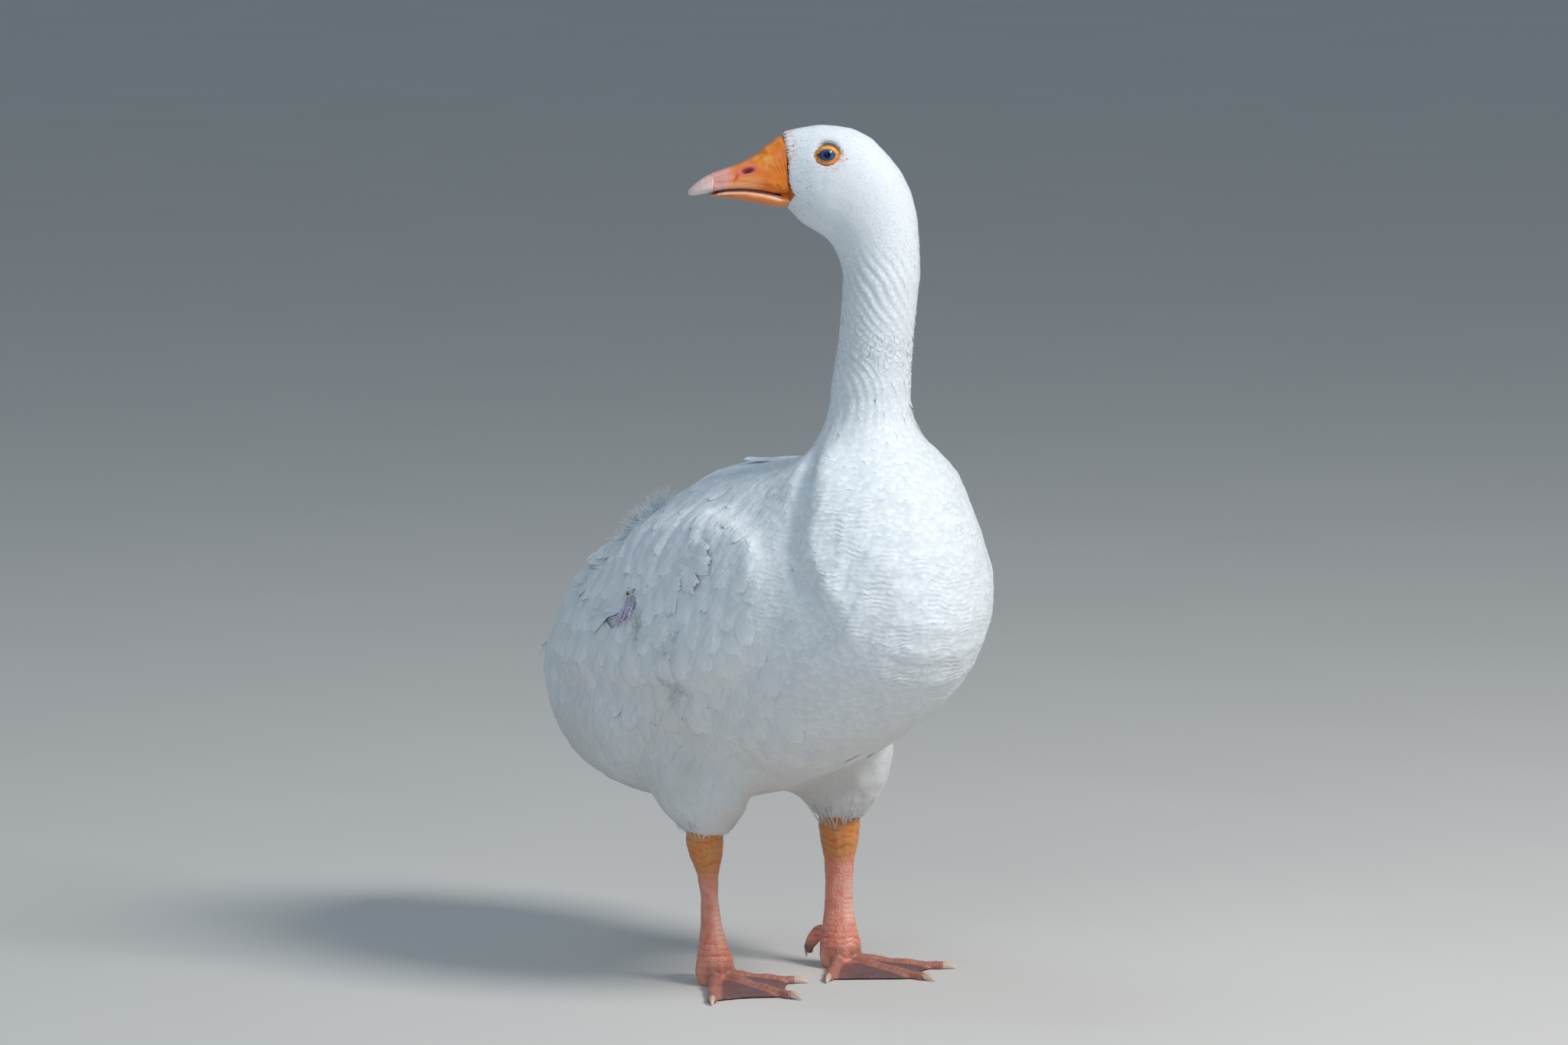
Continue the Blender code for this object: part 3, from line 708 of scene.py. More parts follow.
# ---------------------------------------------------------------- materials
class Nodes:
    """A short way to write a material's nodes."""

    def __init__(self, name):
        self.material = bpy.data.materials.new(name)
        self.material.use_nodes = True
        self.tree = self.material.node_tree
        self.shader = self.tree.nodes["Principled BSDF"]

    def add(self, kind, inputs=(), **settings):
        node = self.tree.nodes.new(kind)
        for key, value in settings.items():
            setattr(node, key, value)
        for key, value in dict(inputs).items():
            self.feed(node.inputs[key], value)
        return node

    def feed(self, socket, value):
        if isinstance(value, bpy.types.Node):
            value = value.outputs[0]
        if isinstance(value, bpy.types.NodeSocket):
            self.tree.links.new(value, socket)
        else:
            socket.default_value = value

    def math(self, operation, a, b=0.0, clamp=False):
        return self.add("ShaderNodeMath", {0: a, 1: b}, operation=operation, use_clamp=clamp)

    def times(self, a, b, clamp=False):
        return self.math("MULTIPLY", a, b, clamp)

    def plus(self, a, b):
        return self.math("ADD", a, b)

    def mix(self, share, a, b):
        node = self.add("ShaderNodeMix", data_type="RGBA")
        self.feed(node.inputs["Factor"], share)
        self.feed(node.inputs["A"], a)
        self.feed(node.inputs["B"], b)
        return node.outputs["Result"]

    def ramp(self, share, low, high, to_low=0.0, to_high=1.0):
        inputs = {"Value": share, "From Min": low, "From Max": high, "To Min": to_low, "To Max": to_high}
        return self.add("ShaderNodeMapRange", inputs)

    def noise(self, vector, scale, detail=3.0, roughness=0.55):
        inputs = {"Vector": vector, "Scale": scale, "Detail": detail, "Roughness": roughness}
        return self.add("ShaderNodeTexNoise", inputs)

    def place(self):
        return self.add("ShaderNodeTexCoord").outputs["Object"]

    def attribute(self, name):
        return self.add("ShaderNodeAttribute", attribute_name=name).outputs["Fac"]

    def axes(self, vector):
        """The X, Y and Z of a vector."""
        split = self.add("ShaderNodeSeparateXYZ", {"Vector": vector})
        return [split.outputs[axis] for axis in "XYZ"]

    def joined(self, x, y=0.0, z=0.0):
        return self.add("ShaderNodeCombineXYZ", {"X": x, "Y": y, "Z": z})

    def painted(self, colour, coats):
        """The colour with others laid over it in turn, each by the attribute of its name."""
        for mask, coat in coats.items():
            colour = self.mix(self.attribute(mask), colour, coat)
        return colour

    def bump(self, height, strength, distance, under=None):
        inputs = {"Height": height, "Strength": strength, "Distance": distance}
        if under is not None:
            inputs["Normal"] = under
        return self.add("ShaderNodeBump", inputs)

    def finish(self, **values):
        for key, value in values.items():
            self.feed(self.shader.inputs[key.replace("_", " ")], value)
        return self.material


WHITE_COOL = (0.83, 0.875, 0.91, 1)
# warm grey low on the body: partly dirt, partly painted shade of the belly
WARM_DIRT_AND_SHADE = (0.60, 0.545, 0.475, 1)
GREY_TONE_AND_SHADE = (0.60, 0.64, 0.68, 1)
ORANGE = (0.70, 0.158, 0.006, 1)
TIP_SHADE = 0.55  # how grey a vane is below the tips that lie over it: painted shade of those tips, partly a greyer downy base
RIPPLE_BUMP_GAP = 0.0042  # metres between the fine ripples of the breast


def plumage_colour(n):
    """The coat's markings, the same on skin and feathers: white, warmer and greyer low down, partly dirt
    and partly painted shade.
    """
    place = n.place()
    low = n.ramp(n.axes(place)[2], 0.32, 0.17)
    share = n.times(low, n.ramp(n.noise(place, 14.0), 0.3, 0.7, 0.35, 1.0), clamp=True)
    return n.mix(share, WHITE_COOL, WARM_DIRT_AND_SHADE)


def coat_folds(n):
    """A bump of soft lumps, long along the lie on the body, and of the breast's ripples."""
    place = n.place()
    x, y, z = n.axes(place)
    across = n.plus(n.times(y, 0.87), n.times(z, 0.5))
    along = n.math("SUBTRACT", n.times(z, 0.87), n.times(y, 0.5))
    streak = n.joined(across, n.times(x, 0.6), n.times(along, 0.36))
    body = n.ramp(z, 0.48, 0.42)
    breast = n.ramp(y, -0.12, -0.17)
    soft = n.times(n.noise(streak, 80.0, 2.0, 0.45), 0.55)
    fine = n.times(n.noise(streak, 270.0, 2.0, 0.5), n.ramp(breast, 0.0, 1.0, 0.15, 0.05))
    phase = n.plus(n.times(z, 2 * math.pi / RIPPLE_BUMP_GAP), n.times(n.noise(place, 32.0), 30.0))
    broken = n.ramp(n.noise(place, 45.0), 0.42, 0.66, 0.1, 1.0)
    ripple = n.times(n.math("SINE", phase), n.times(n.times(breast, broken), 0.024))
    return n.bump(n.times(n.plus(n.plus(soft, fine), ripple), body), 1.0, 0.0075)


def barbs_of(n, sweep, pull):
    """(a vector that runs along a vane's barbs, how far each point is from the vane's middle)"""
    x, y, _ = n.axes(n.add("ShaderNodeUVMap", uv_map="vane"))
    out = n.math("ABSOLUTE", x)
    barb = n.math("SUBTRACT", y, n.times(out, sweep))
    return n.joined(barb, n.times(out, pull), n.attribute("tint")), out


def greyed(n, share, colour):
    return n.mix(share, colour, GREY_TONE_AND_SHADE)


def make_plumage():
    n = Nodes("plumage")
    sweep, _ = barbs_of(n, 1.1, 0.06)
    barbs = n.noise(sweep, 700.0, 2.0, 0.6)
    colour = greyed(n, n.ramp(n.attribute("tint"), 0.0, 1.0, 0.0, 0.08), plumage_colour(n))
    colour = greyed(n, n.ramp(barbs, 0.35, 0.65, 0.10, 0.0), colour)
    # painted shade below the tips of the vanes that lie over this one
    colour = greyed(n, n.ramp(n.attribute("tip"), 0.70, 0.98, TIP_SHADE, 0.0), colour)
    colour = n.mix(n.times(n.attribute("blush"), 0.7), colour, (0.70, 0.30, 0.12, 1))
    return n.finish(
        Base_Color=colour, Roughness=0.62, Normal=n.bump(barbs, 0.22, 0.0006, coat_folds(n)),
        Sheen_Weight=0.15, Sheen_Roughness=0.4
    )


def make_pennaceous():
    """Large feathers: a fine pale shaft, and barbs that sweep out from it in soft ridges."""
    n = Nodes("pennaceous_feather")
    sweep, out = barbs_of(n, 0.8, 0.05)
    fine = n.noise(sweep, 900.0, 2.0, 0.6)
    coarse = n.noise(sweep, 460.0, 2.0, 0.5)
    shaft = n.ramp(out, 0.0, 0.0007, 1.0, 0.0)
    height = n.plus(n.plus(n.times(fine, 0.4), coarse), n.times(shaft, 0.3))
    colour = greyed(n, n.ramp(coarse, 0.35, 0.6, 0.18, 0.0), plumage_colour(n))
    colour = greyed(n, n.ramp(n.attribute("tint"), 0.0, 1.0, 0.0, 0.10), colour)
    # painted shade below the tips of the vanes that lie over this one
    colour = greyed(n, n.ramp(n.attribute("tip"), 0.55, 0.96, TIP_SHADE, 0.0), colour)
    return n.finish(
        Base_Color=colour, Roughness=0.55, Normal=n.bump(height, 0.4, 0.0009, coat_folds(n)),
        Sheen_Weight=0.15, Sheen_Roughness=0.4
    )


def make_skin_material():
    n = Nodes("skin_plumage")
    down = n.noise(n.place(), 420.0, 4.0, 0.65)
    rosy = n.mix(down, (0.58, 0.46, 0.52, 1), (0.74, 0.62, 0.66, 1))
    colour = n.mix(n.attribute("moult"), plumage_colour(n), rosy)
    colour = n.mix(n.attribute("gape"), colour, n.mix(down, ORANGE, (0.50, 0.09, 0.004, 1)))
    normal = n.bump(down, 0.5, 0.001, coat_folds(n))
    return n.finish(Base_Color=colour, Roughness=0.8, Normal=normal)


def make_leg_material():
    """Ochre at the hock, orange-pink scales on the shank, mauve on the webs, redder on the toes."""
    n = Nodes("leg_skin_fine")
    place = n.place()
    blotch = n.noise(place, 90.0, 4.0, 0.6)
    fine = n.noise(place, 900.0, 3.0, 0.6)
    scales = n.add("ShaderNodeTexVoronoi", {"Vector": place, "Scale": 430.0, "Randomness": 0.8})
    cell = scales.outputs["Distance"]
    sharp, soft = n.ramp(blotch, 0.35, 0.65), n.ramp(blotch, 0.3, 0.7)
    shank = n.mix(sharp, (0.66, 0.18, 0.11, 1), (0.78, 0.33, 0.24, 1))
    hock = n.mix(sharp, (0.66, 0.20, 0.030, 1), (0.60, 0.27, 0.09, 1))
    toe = n.mix(soft, (0.34, 0.115, 0.080, 1), (0.44, 0.19, 0.14, 1))
    web = n.mix(soft, (0.12, 0.065, 0.070, 1), (0.19, 0.100, 0.10, 1))
    colour = n.painted(shank, {"hock": hock, "toe": toe, "web": web})
    # painted highlight: each scale paler at its middle, where its gloss would shine
    pale = n.times(n.attribute("scaled"), n.ramp(cell, 0.45, 0.10, 0.0, 0.40), clamp=True)
    colour = n.mix(pale, colour, (0.72, 0.42, 0.33, 1))
    colour = n.mix(n.times(n.attribute("scute"), 0.5), colour, (0.78, 0.56, 0.48, 1))
    # painted shade: darker in the valleys of the folds, wrinkles and toe creases
    colour = n.mix(n.times(n.attribute("crease"), 0.75), colour, (0.26, 0.07, 0.03, 1))
    ridges = n.add(
        "ShaderNodeTexWave",
        {"Vector": n.joined(n.attribute("radial")), "Scale": 72.0, "Distortion": 1.2, "Detail": 2.0,
         "Detail Scale": 1.5},
    )
    # painted shade in the valleys between the web's ridges
    valley = n.times(n.attribute("web"), n.ramp(ridges, 0.2, 0.9, 0.45, 0.0))
    colour = n.mix(valley, colour, (0.20, 0.075, 0.06, 1))
    height = n.times(n.attribute("scaled"), n.ramp(cell, 0.0, 0.5, 1.0, 0.0))
    height = n.plus(height, n.times(n.attribute("web"), n.times(ridges, 0.6)))
    return n.finish(
        Base_Color=colour, Roughness=n.ramp(fine, 0.2, 0.8, 0.36, 0.52),
        Normal=n.bump(height, 0.7, 0.0007, n.bump(fine, 0.35, 0.0004)), Coat_Weight=0.12, Coat_Roughness=0.3
    )


def make_bill_material():
    """Glossy orange horn with a rosy tip and a reddened nostril, darkened as painted shade in its creases,
    in the nostril's hole and along the mouth.
    """
    n = Nodes("bill_fine")
    place = n.place()
    cloud = n.noise(place, 120.0)
    fine = n.noise(place, 1100.0, 3.0, 0.6)
    colour = n.mix(n.ramp(cloud, 0.35, 0.65), ORANGE, (0.75, 0.205, 0.012, 1))
    colour = n.painted(colour, {
        "soft": (0.86, 0.35, 0.13, 1),
        "yellow": (0.82, 0.40, 0.04, 1),
        # deep: painted shade in the upper bill's creases and groove; on the lower bill, darker low down
        "deep": (0.40, 0.065, 0.002, 1),
        "brown": (0.30, 0.10, 0.02, 1),
        "rose": (0.70, 0.32, 0.30, 1),
        "mauve": (0.48, 0.13, 0.17, 1),
        "blood": (0.62, 0.035, 0.010, 1),
        "pale": (0.80, 0.55, 0.42, 1),
        # dark: painted shade in the nostril's hole and along the mouth, and some real specks
        "dark": (0.035, 0.004, 0.004, 1),
    })
    pores = n.ramp(n.noise(place, 520.0, 2.0, 0.5), 0.62, 0.72)
    colour = n.mix(n.times(pores, 0.16), colour, (0.40, 0.09, 0.01, 1))
    return n.finish(
        Base_Color=colour, Roughness=n.ramp(fine, 0.2, 0.8, 0.30, 0.46), Specular_IOR_Level=0.4,
        Normal=n.bump(fine, 0.22, 0.0004), Coat_Weight=0.2, Coat_Roughness=0.18
    )


def make_horn_material(name, low_colour, high_colour, low, high):
    """Pale horn that runs from one colour at a height of the model to another higher up."""
    n = Nodes(name)
    place = n.place()
    grain = n.noise(place, 600.0, 3.0, 0.6)
    up = n.plus(n.ramp(n.axes(place)[2], low, high), n.ramp(grain, 0.3, 0.7, -0.12, 0.12))
    colour = n.mix(n.math("MAXIMUM", n.math("MINIMUM", up, 1.0), 0.0), low_colour, high_colour)
    return n.finish(
        Base_Color=colour, Roughness=n.ramp(grain, 0.2, 0.8, 0.28, 0.42), Normal=n.bump(grain, 0.2, 0.0003),
        Coat_Weight=0.3, Coat_Roughness=0.2
    )


def make_eye_material():
    """A blue iris with a dark rim round a black pupil, by the angle from the eye's own axis."""
    n = Nodes("eye_fine")
    angle = n.attribute("off_axis")
    spokes = n.noise(n.joined(n.attribute("round"), n.times(angle, 0.02)), 9.0)
    blue = n.mix(n.ramp(spokes, 0.35, 0.65), (0.008, 0.055, 0.20, 1), (0.025, 0.13, 0.40, 1))
    blue = n.mix(n.ramp(angle, 0.40, 0.70, 0.0, 0.55), blue, (0.03, 0.13, 0.36, 1))
    iris = n.mix(n.ramp(angle, 0.31, 0.34), (0.002, 0.002, 0.004, 1), blue)
    rim = n.mix(n.ramp(angle, 0.74, 0.84), iris, (0.006, 0.008, 0.02, 1))
    white = n.mix(n.ramp(angle, 0.90, 1.05), rim, (0.16, 0.07, 0.03, 1))
    return n.finish(
        Base_Color=white, Roughness=0.3, Specular_IOR_Level=0.12, Coat_Weight=0.35, Coat_Roughness=0.01
    )


def make_lid_material():
    n = Nodes("eyelid")
    grain = n.noise(n.place(), 700.0, 3.0, 0.6)
    colour = n.mix(n.ramp(grain, 0.3, 0.7), (0.80, 0.27, 0.012, 1), (0.86, 0.38, 0.02, 1))
    # the inner edge darkened as painted shade where the lid meets the eye
    colour = n.painted(colour, {"under": (0.74, 0.17, 0.012, 1), "margin_shade": (0.20, 0.05, 0.012, 1)})
    return n.finish(
        Base_Color=colour, Roughness=n.ramp(grain, 0.2, 0.8, 0.30, 0.45),
        Normal=n.bump(grain, 0.35, 0.0004), Coat_Weight=0.25, Coat_Roughness=0.2
    )


PLUMAGE = make_plumage()
PENNACEOUS = make_pennaceous()
SKIN = make_skin_material()
LEG_SKIN = make_leg_material()


# ---------------------------------------------------------------- skin
BODY_TOP = 0.50  # above this the surface stays as crisp as the voxels allow


def make_surface():
    """The surface that the tips of the feathers reach. It bridges the creases between the solids."""
    points, triangles = joined(PLUMED)
    local = HEAD.local(points)
    face = (local[:, 1] > feather_edge(local[:, 2]) - 1.5) & (local[:, 2] > -60) & (points[:, 2] > 0.6)
    points[face] += HEAD.axes[1] * face_overlap(local[face, 2])[:, None] * MM
    points, quads = remeshed(points, triangles, PLUME_VOXEL)
    reach = CREASE_FILL * smooth_step(-points[:, 2], -BODY_TOP, 0.08 - BODY_TOP)
    points = points + normals_of(points, quads) * reach[:, None]
    points, quads = remeshed(points, quads, PLUME_VOXEL)
    points = smoothed(points, quads, 3)
    reach = CREASE_FILL * smooth_step(-points[:, 2], -BODY_TOP - CREASE_FILL, 0.08 - BODY_TOP)
    points = points - normals_of(points, quads) * reach[:, None]
    calmer = smoothed(points, quads, 16)
    points = smoothed(points, quads, 4)
    share = smooth_step(-points[:, 2], -BODY_TOP, 0.08 - BODY_TOP)[:, None]
    return Surface(points + (calmer - points) * share, quads)


SKIN_VOXEL, LEG_VOXEL = 0.0042, 0.00135  # the grain of the two skins
LEG_RISE = 0.020  # how far the bare leg runs up inside its feathers
SEAL = 0.0003  # closes the gaps between the solids of one leg while they are joined
HIND_END, HIND_REACH = 0.006, 0.0035  # the hind toe's end, and how far it runs on over its claw's root
FOLD_GAP, WRINKLE_GAP = 0.0052, 0.0065  # between the ankle's folds, and the hock's wrinkles
KNUCKLE_GAP, PLATE_GAP = 0.0066, 0.0042  # between the toes' creases, and the shank's plates
LEG_MASKS = ("hock", "toe", "web", "scaled", "scute", "crease", "radial")
FACE_DEPTH = 0.0012  # metres more where the face meets the bill
SKIN_SHARE = 0.6  # of the coat's depth that the skin lies under the tips


def make_leg(side):
    """One bare leg: its points, its quads and its masks."""
    points, triangles = joined([f"{part}_{side}" for part in BARE])
    low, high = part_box(f"shank_{side}")
    shank, _ = triangles_of(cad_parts[f"shank_{side}"].data)
    ankle = shank[shank[:, 2] < low.z + 0.002].mean(0)
    hock = shank[shank[:, 2] > high.z - 0.002].mean(0)
    points[points[:, 2] > high.z - 0.001] += (0, 0, LEG_RISE)
    claw_root = at(f"claw_hind_{side}", 0.5, 0.2, 1.0)
    claw_way = unit(np.array(middle(f"claw_hind_{side}")) - claw_root)
    end = np.linalg.norm(points - claw_root, axis=1) < HIND_END
    points[end] = claw_root + (points[end] - claw_root) * 1.35 + claw_way * HIND_REACH
    points = points + normals_of(points, triangles) * SEAL
    points, quads = remeshed(points, triangles, LEG_VOXEL)
    points = smoothed(points, quads, 5)
    normals = normals_of(points, quads)
    tips = [np.array(middle(f"claw_{toe}_{side}")) for toe in ("inner", "middle", "outer")]
    rise = points[:, 2]
    share = np.clip((rise - ankle[2]) / (hock[2] - ankle[2]), -0.2, 1.2)[:, None]
    centre = ankle + (hock - ankle) * share
    out = unit((points - centre)[:, :2])
    front = unit((tips[1] - ankle)[:2])
    from_front = np.arccos(np.clip(out @ front, -1, 1))
    flat = (points - ankle)[:, :2]
    radial = np.linalg.norm(flat, axis=1)
    apart = []
    for tip in tips:
        toe = (tip - ankle)[:2]
        along = np.clip((flat @ toe) / (toe**2).sum(), 0, 1)
        apart.append(np.linalg.norm(flat - along[:, None] * toe, axis=1))
    to_toe = np.min(apart, axis=0)
    foot = smooth_step(-rise, -0.024, -0.014)
    toe = foot * smooth_step(-to_toe, -0.0085, -0.0045)
    web = foot * smooth_step(to_toe, 0.0045, 0.0085) * smooth_step(radial, 0.018, 0.030)
    wobble = lumps(points, 0.008, 21)
    fold = scallops(rise, FOLD_GAP, 0.6 * lumps(points, 0.016, 22))
    folds = bell(rise, 0.027, 0.010) * smooth_step(-radial, -0.03, -0.02)
    wrinkle = scallops(rise, WRINKLE_GAP, 0.9 * lumps(points, 0.012, 23))
    hocked = smooth_step(rise, 0.083, 0.100)
    knuckle = scallops(radial, KNUCKLE_GAP, 0.25 * wobble)
    plate = scallops(rise, PLATE_GAP, 0.12 * wobble)
    scute = smooth_step(-from_front, -0.62, -0.35) * (1 - folds) * smooth_step(rise, 0.026, 0.034)
    scute *= 1 - smooth_step(rise, 0.058, 0.085)
    height = 0.0007 * (np.sqrt(fold) - 0.6) * folds
    height += 0.00045 * (np.sqrt(wrinkle) - 0.6) * hocked
    height += 0.00045 * (np.sqrt(knuckle) - 0.6) * toe * smooth_step(rise, 0.002, 0.006)
    height += 0.0005 * (np.sqrt(plate) - 0.5) * scute
    height += 0.0003 * wobble * (1 - web) + 0.00012 * lumps(points, 0.003, 24)
    points = points + normals * (height - SEAL)[:, None]
    points[:, 2] = np.maximum(points[:, 2], 0.0)
    # how deep in a valley of the folds each point lies, for the painted shade there
    valley = folds * (1 - smooth_step(fold, 0.05, 0.4))
    valley += hocked * 0.7 * (1 - smooth_step(wrinkle, 0.05, 0.35))
    valley += 0.6 * toe * (1 - smooth_step(knuckle, 0.05, 0.35))
    masks = {
        "hock": hocked,
        "toe": toe,
        "web": web,
        "scaled": (1 - web) * (1 - 0.5 * toe) * (1 - 0.75 * hocked) * (1 - scute),
        "scute": scute * smooth_step(plate, 0.15, 0.5),
        "crease": np.clip(valley, 0, 1),
        "radial": radial,
    }
    return points, quads, masks


def make_skin(surface):
    """The one skin: the plumed body and both bare legs."""
    depth = SKIN_SHARE * LIE.depth(surface.points, surface.normals)
    _, forward, up = HEAD.local(surface.points).T
    face = smooth_step(forward - feather_edge(up), -12, -4) * (surface.points[:, 2] > 0.6)
    depth += face * FACE_DEPTH
    points = surface.points + surface.normals * (relief(surface.points) - depth)[:, None]
    points, body_quads = remeshed(points, surface.quads, SKIN_VOXEL)
    points = smoothed(points, body_quads, 2)
    masks = {name: np.zeros(len(points)) for name in LEG_MASKS}
    masks["moult"] = 1 - smooth_step(from_gap(points), 0.7, 1.3)
    _, forward, up = HEAD.local(points).T
    ahead = forward - feather_edge(up) - face_overlap(up)
    masks["gape"] = smooth_step(ahead, -2.5, -0.5) * (points[:, 2] > 0.6)
    parts = [(points, body_quads, masks)]
    parts += [make_leg(side) for side in SIDES]
    starts = np.cumsum([0] + [len(p) for p, _, _ in parts])
    quads = np.concatenate([q + start for (_, q, _), start in zip(parts, starts)])
    mesh = build_mesh("skin", np.concatenate([p for p, _, _ in parts]), quads)
    for name in (*LEG_MASKS, "moult", "gape"):
        values = [masks.get(name, np.zeros(len(p))) for p, _, masks in parts]
        set_attribute(mesh, name, np.concatenate(values))
    mesh.materials.append(SKIN)
    mesh.materials.append(LEG_SKIN)
    bare = np.repeat([0, 1, 1], [len(q) for _, q, _ in parts]).astype(np.int32)
    mesh.polygons.foreach_set("material_index", bare)
    skin = add_piece("skin", mesh)
    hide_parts(*PLUMED, *[f"{part}_{side}" for part in BARE for side in SIDES])
    print("skin:", 2 * len(quads), "triangles")
    return skin


# ---------------------------------------------------------------- bill
BILL_VOXEL = 0.0006  # the grain of the bill
NOSTRIL = (68.4, -15.2)  # mm forward and up in the head's axes
NOSTRIL_SIZE = (4.7, 1.7)  # half its length and height
NOSTRIL_TILT = math.radians(-14)
NAIL_PALE, NAIL_ROSE = (0.78, 0.66, 0.61, 1), (0.70, 0.38, 0.35, 1)


def nostril_ring(forward, up):
    """1 on the edge of the nostril, less inside it and more outside."""
    f, u = forward - NOSTRIL[0], up - NOSTRIL[1]
    c, s = math.cos(NOSTRIL_TILT), math.sin(NOSTRIL_TILT)
    return np.hypot((f * c + u * s) / NOSTRIL_SIZE[0], (u * c - f * s) / NOSTRIL_SIZE[1])


def bill_part(name, nodes, tuck, shape, material):
    """A fine piece in place of the bill's solids. tuck closes its joints, in the head's axes, and
    shape gives heights in mm and masks."""
    points, triangles = joined(nodes)
    points = HEAD.origin + tuck(HEAD.local(points)) * MM @ HEAD.axes
    points, quads = remeshed(points, triangles, BILL_VOXEL)
    calmer = smoothed(points, quads, 45, keep_size=False)
    points = smoothed(points, quads, 14)
    local = HEAD.local(points)
    brow = smooth_step(local[:, 2] - mouth_line(local[:, 1]), 7, 14) * smooth_step(-local[:, 1], -88, -78)
    points = points + (calmer - points) * brow[:, None]
    height, masks = shape(points, HEAD.local(points))
    points = points + normals_of(points, quads) * (height * MM)[:, None]
    points = smoothed(points, quads, 1)
    mesh = build_mesh(name, points, quads)
    for mask, values in masks.items():
        set_attribute(mesh, mask, np.clip(values, 0, 1))
    mesh.materials.append(material)
    piece = add_piece(name, mesh)
    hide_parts(*nodes)
    print(f"{name}: {2 * len(quads)} triangles")
    return piece


ROOT_DEPTH = 6.0  # mm that the bill runs back inside the head
LIP_OVERLAP = 2.6  # mm that the lower bill's edge stands inside the upper


def root_tucked(local):
    """Runs the bill's root back into the head, and narrower."""
    side, forward, up = local.T.copy()
    root = forward - feather_edge(up) < 0.9
    side[root] *= 0.93
    up[root] = -15 + (up[root] + 15) * 0.94
    forward[root] -= ROOT_DEPTH
    return np.stack([side, forward, up], 1)


def upper_tucked(local):
    """Runs the upper bill's front into the nail too."""
    front = local[:, 1] > local[:, 1].max() - 0.6
    local = root_tucked(local)
    middle_up = local[front, 2].mean()
    local[front, 0] *= 0.85
    local[front, 2] = middle_up + (local[front, 2] - middle_up) * 0.85
    local[front, 1] += 2.0
    return local


def lip_tucked(local):
    """Runs the lower bill's edge up inside the upper bill, besides its root."""
    edge = mouth_line(local[:, 1]) - local[:, 2] < 0.9
    local = root_tucked(local)
    local[edge, 0] *= 0.94
    local[edge, 2] += LIP_OVERLAP
    return local


def upper_shape(points, local):
    """Folds at the root, the nostril with its rim, a low hill before it and the lip."""
    _, forward, up = local.T
    ahead = forward - feather_edge(up)
    above = up - mouth_line(forward)
    fan = ahead / np.clip((up + 41) / 42, 0.22, 1.25) + 1.1 * lumps(points, 0.008, 39)
    near = 1 - smooth_step(fan, 17, 24)
    crease = sum(bell(fan, w, 0.9) * a for w, a in ((3.2, 0.8), (7.0, 1.0), (11.5, 0.8), (16.5, 0.6)))
    crease = crease * smooth_step(-up, -4, 9) * np.clip(0.6 + 0.7 * lumps(points, 0.007, 31), 0, 1)
    ring = nostril_ring(forward, up)
    hole = 1 - smooth_step(ring, 0.75, 1.25)
    hill = bell(forward, 53, 5) * bell(up, 0, 7)
    lip = bell(above, 2.4, 1.5) * smooth_step(forward, 34, 44)
    height = -0.55 * crease + 0.35 * near * lumps(points, 0.006, 32) + 0.12 * lumps(points, 0.0024, 33)
    height += 0.5 * bell(ring, 1.9, 0.5) - 3.2 * hole + 0.6 * hill + 0.35 * lip
    height += 0.35 * np.clip(lumps(points, 0.0045, 40), 0, 1) * smooth_step(-forward, -60, -50)
    height -= 0.35 * bell(above, 6.5, 1.6) * smooth_step(forward, 44, 56)
    mottle = lumps(points, 0.004, 34)
    tip = smooth_step(forward + 3 * mottle + 0.25 * above, 81, 89)
    drip = bell(forward + 0.5 * (up + 20), 76.5, 1.8) * bell(up, -20.5, 3.4)
    specks = sum(bell(forward, f, 0.9) * bell(up, u, 0.8) for f, u in ((43.5, -26.0), (41.2, -28.0)))
    cloud = np.clip(0.5 + lumps(points, 0.004, 35), 0, 1)
    # where the upper bill's edge lies over the lower one, darkened as painted shade
    mouth = 1 - smooth_step(above, -0.2, 0.35)
    masks = {
        "soft": 0.8 * smooth_step(forward, 52, 62) * smooth_step(-above, -16, -6),
        "yellow": 0.85 * bell(forward, 54, 6) * bell(up, -4, 8) * cloud,
        # deep: painted shade in the root's creases and in the groove above the lip
        "deep": 0.8 * crease * near + 0.35 * bell(above, 6.5, 1.6) * smooth_step(forward, 40, 50),
        "brown": 0.3 * (1 - smooth_step(ahead, 0.5, 2.0)),
        "rose": tip * 0.92,
        "mauve": 0.9 * smooth_step(-ring, -2.5, -1.3) * np.clip(0.75 + 0.5 * mottle, 0, 1),
        "blood": 0.9 * np.clip(drip * 1.3 - 0.15, 0, 1) + 0.6 * bell(ring, 0.9, 0.3),
        "pale": 0.45 * lip * smooth_step(forward, 55, 75),
        # dark: painted shade in the nostril's hole and along the mouth, with real dark specks
        "dark": hole * smooth_step(-ring, -0.95, -0.45) * 0.9 + 0.85 * specks + 0.9 * mouth,
    }
    return height, masks


def lower_shape(points, local):
    """A pale band along the mouth, with a slit above it darkened as painted shade."""
    _, forward, up = local.T
    below = mouth_line(forward) - up
    comb = smooth_step(forward, 38, 42) * (1 - smooth_step(forward, 90, 94))
    band = smooth_step(below, 1.0, 1.4) * (1 - smooth_step(below, 2.9, 3.5))
    slit = 1 - smooth_step(below, 0.9, 1.2)
    height = 0.10 * lumps(points, 0.003, 36) + 0.35 * bell(below, 2.0, 1.0) * comb - 0.2 * slit
    masks = {
        "soft": np.full(len(points), 0.4),
        "deep": 0.35 * smooth_step(below, 4, 9) * (1 - smooth_step(forward, 60, 90)),
        "brown": 0.45 * smooth_step(forward, 60, 95) + 0.25 * lumps(points, 0.006, 37),
        "rose": 0.5 * smooth_step(forward, 88, 98),
        "pale": 0.8 * band * comb,
        # painted shade in the slit between the bills
        "dark": slit * comb,
    }
    return height, masks


def as_is(local):
    return local


def nail_shape(points, local):
    return 0.08 * lumps(points, 0.003, 38), {}


TOOTH_GAP, TOOTH_SIZE = 1.4, (0.44, 1.15, 0.8)  # mm: half along, half up, proud


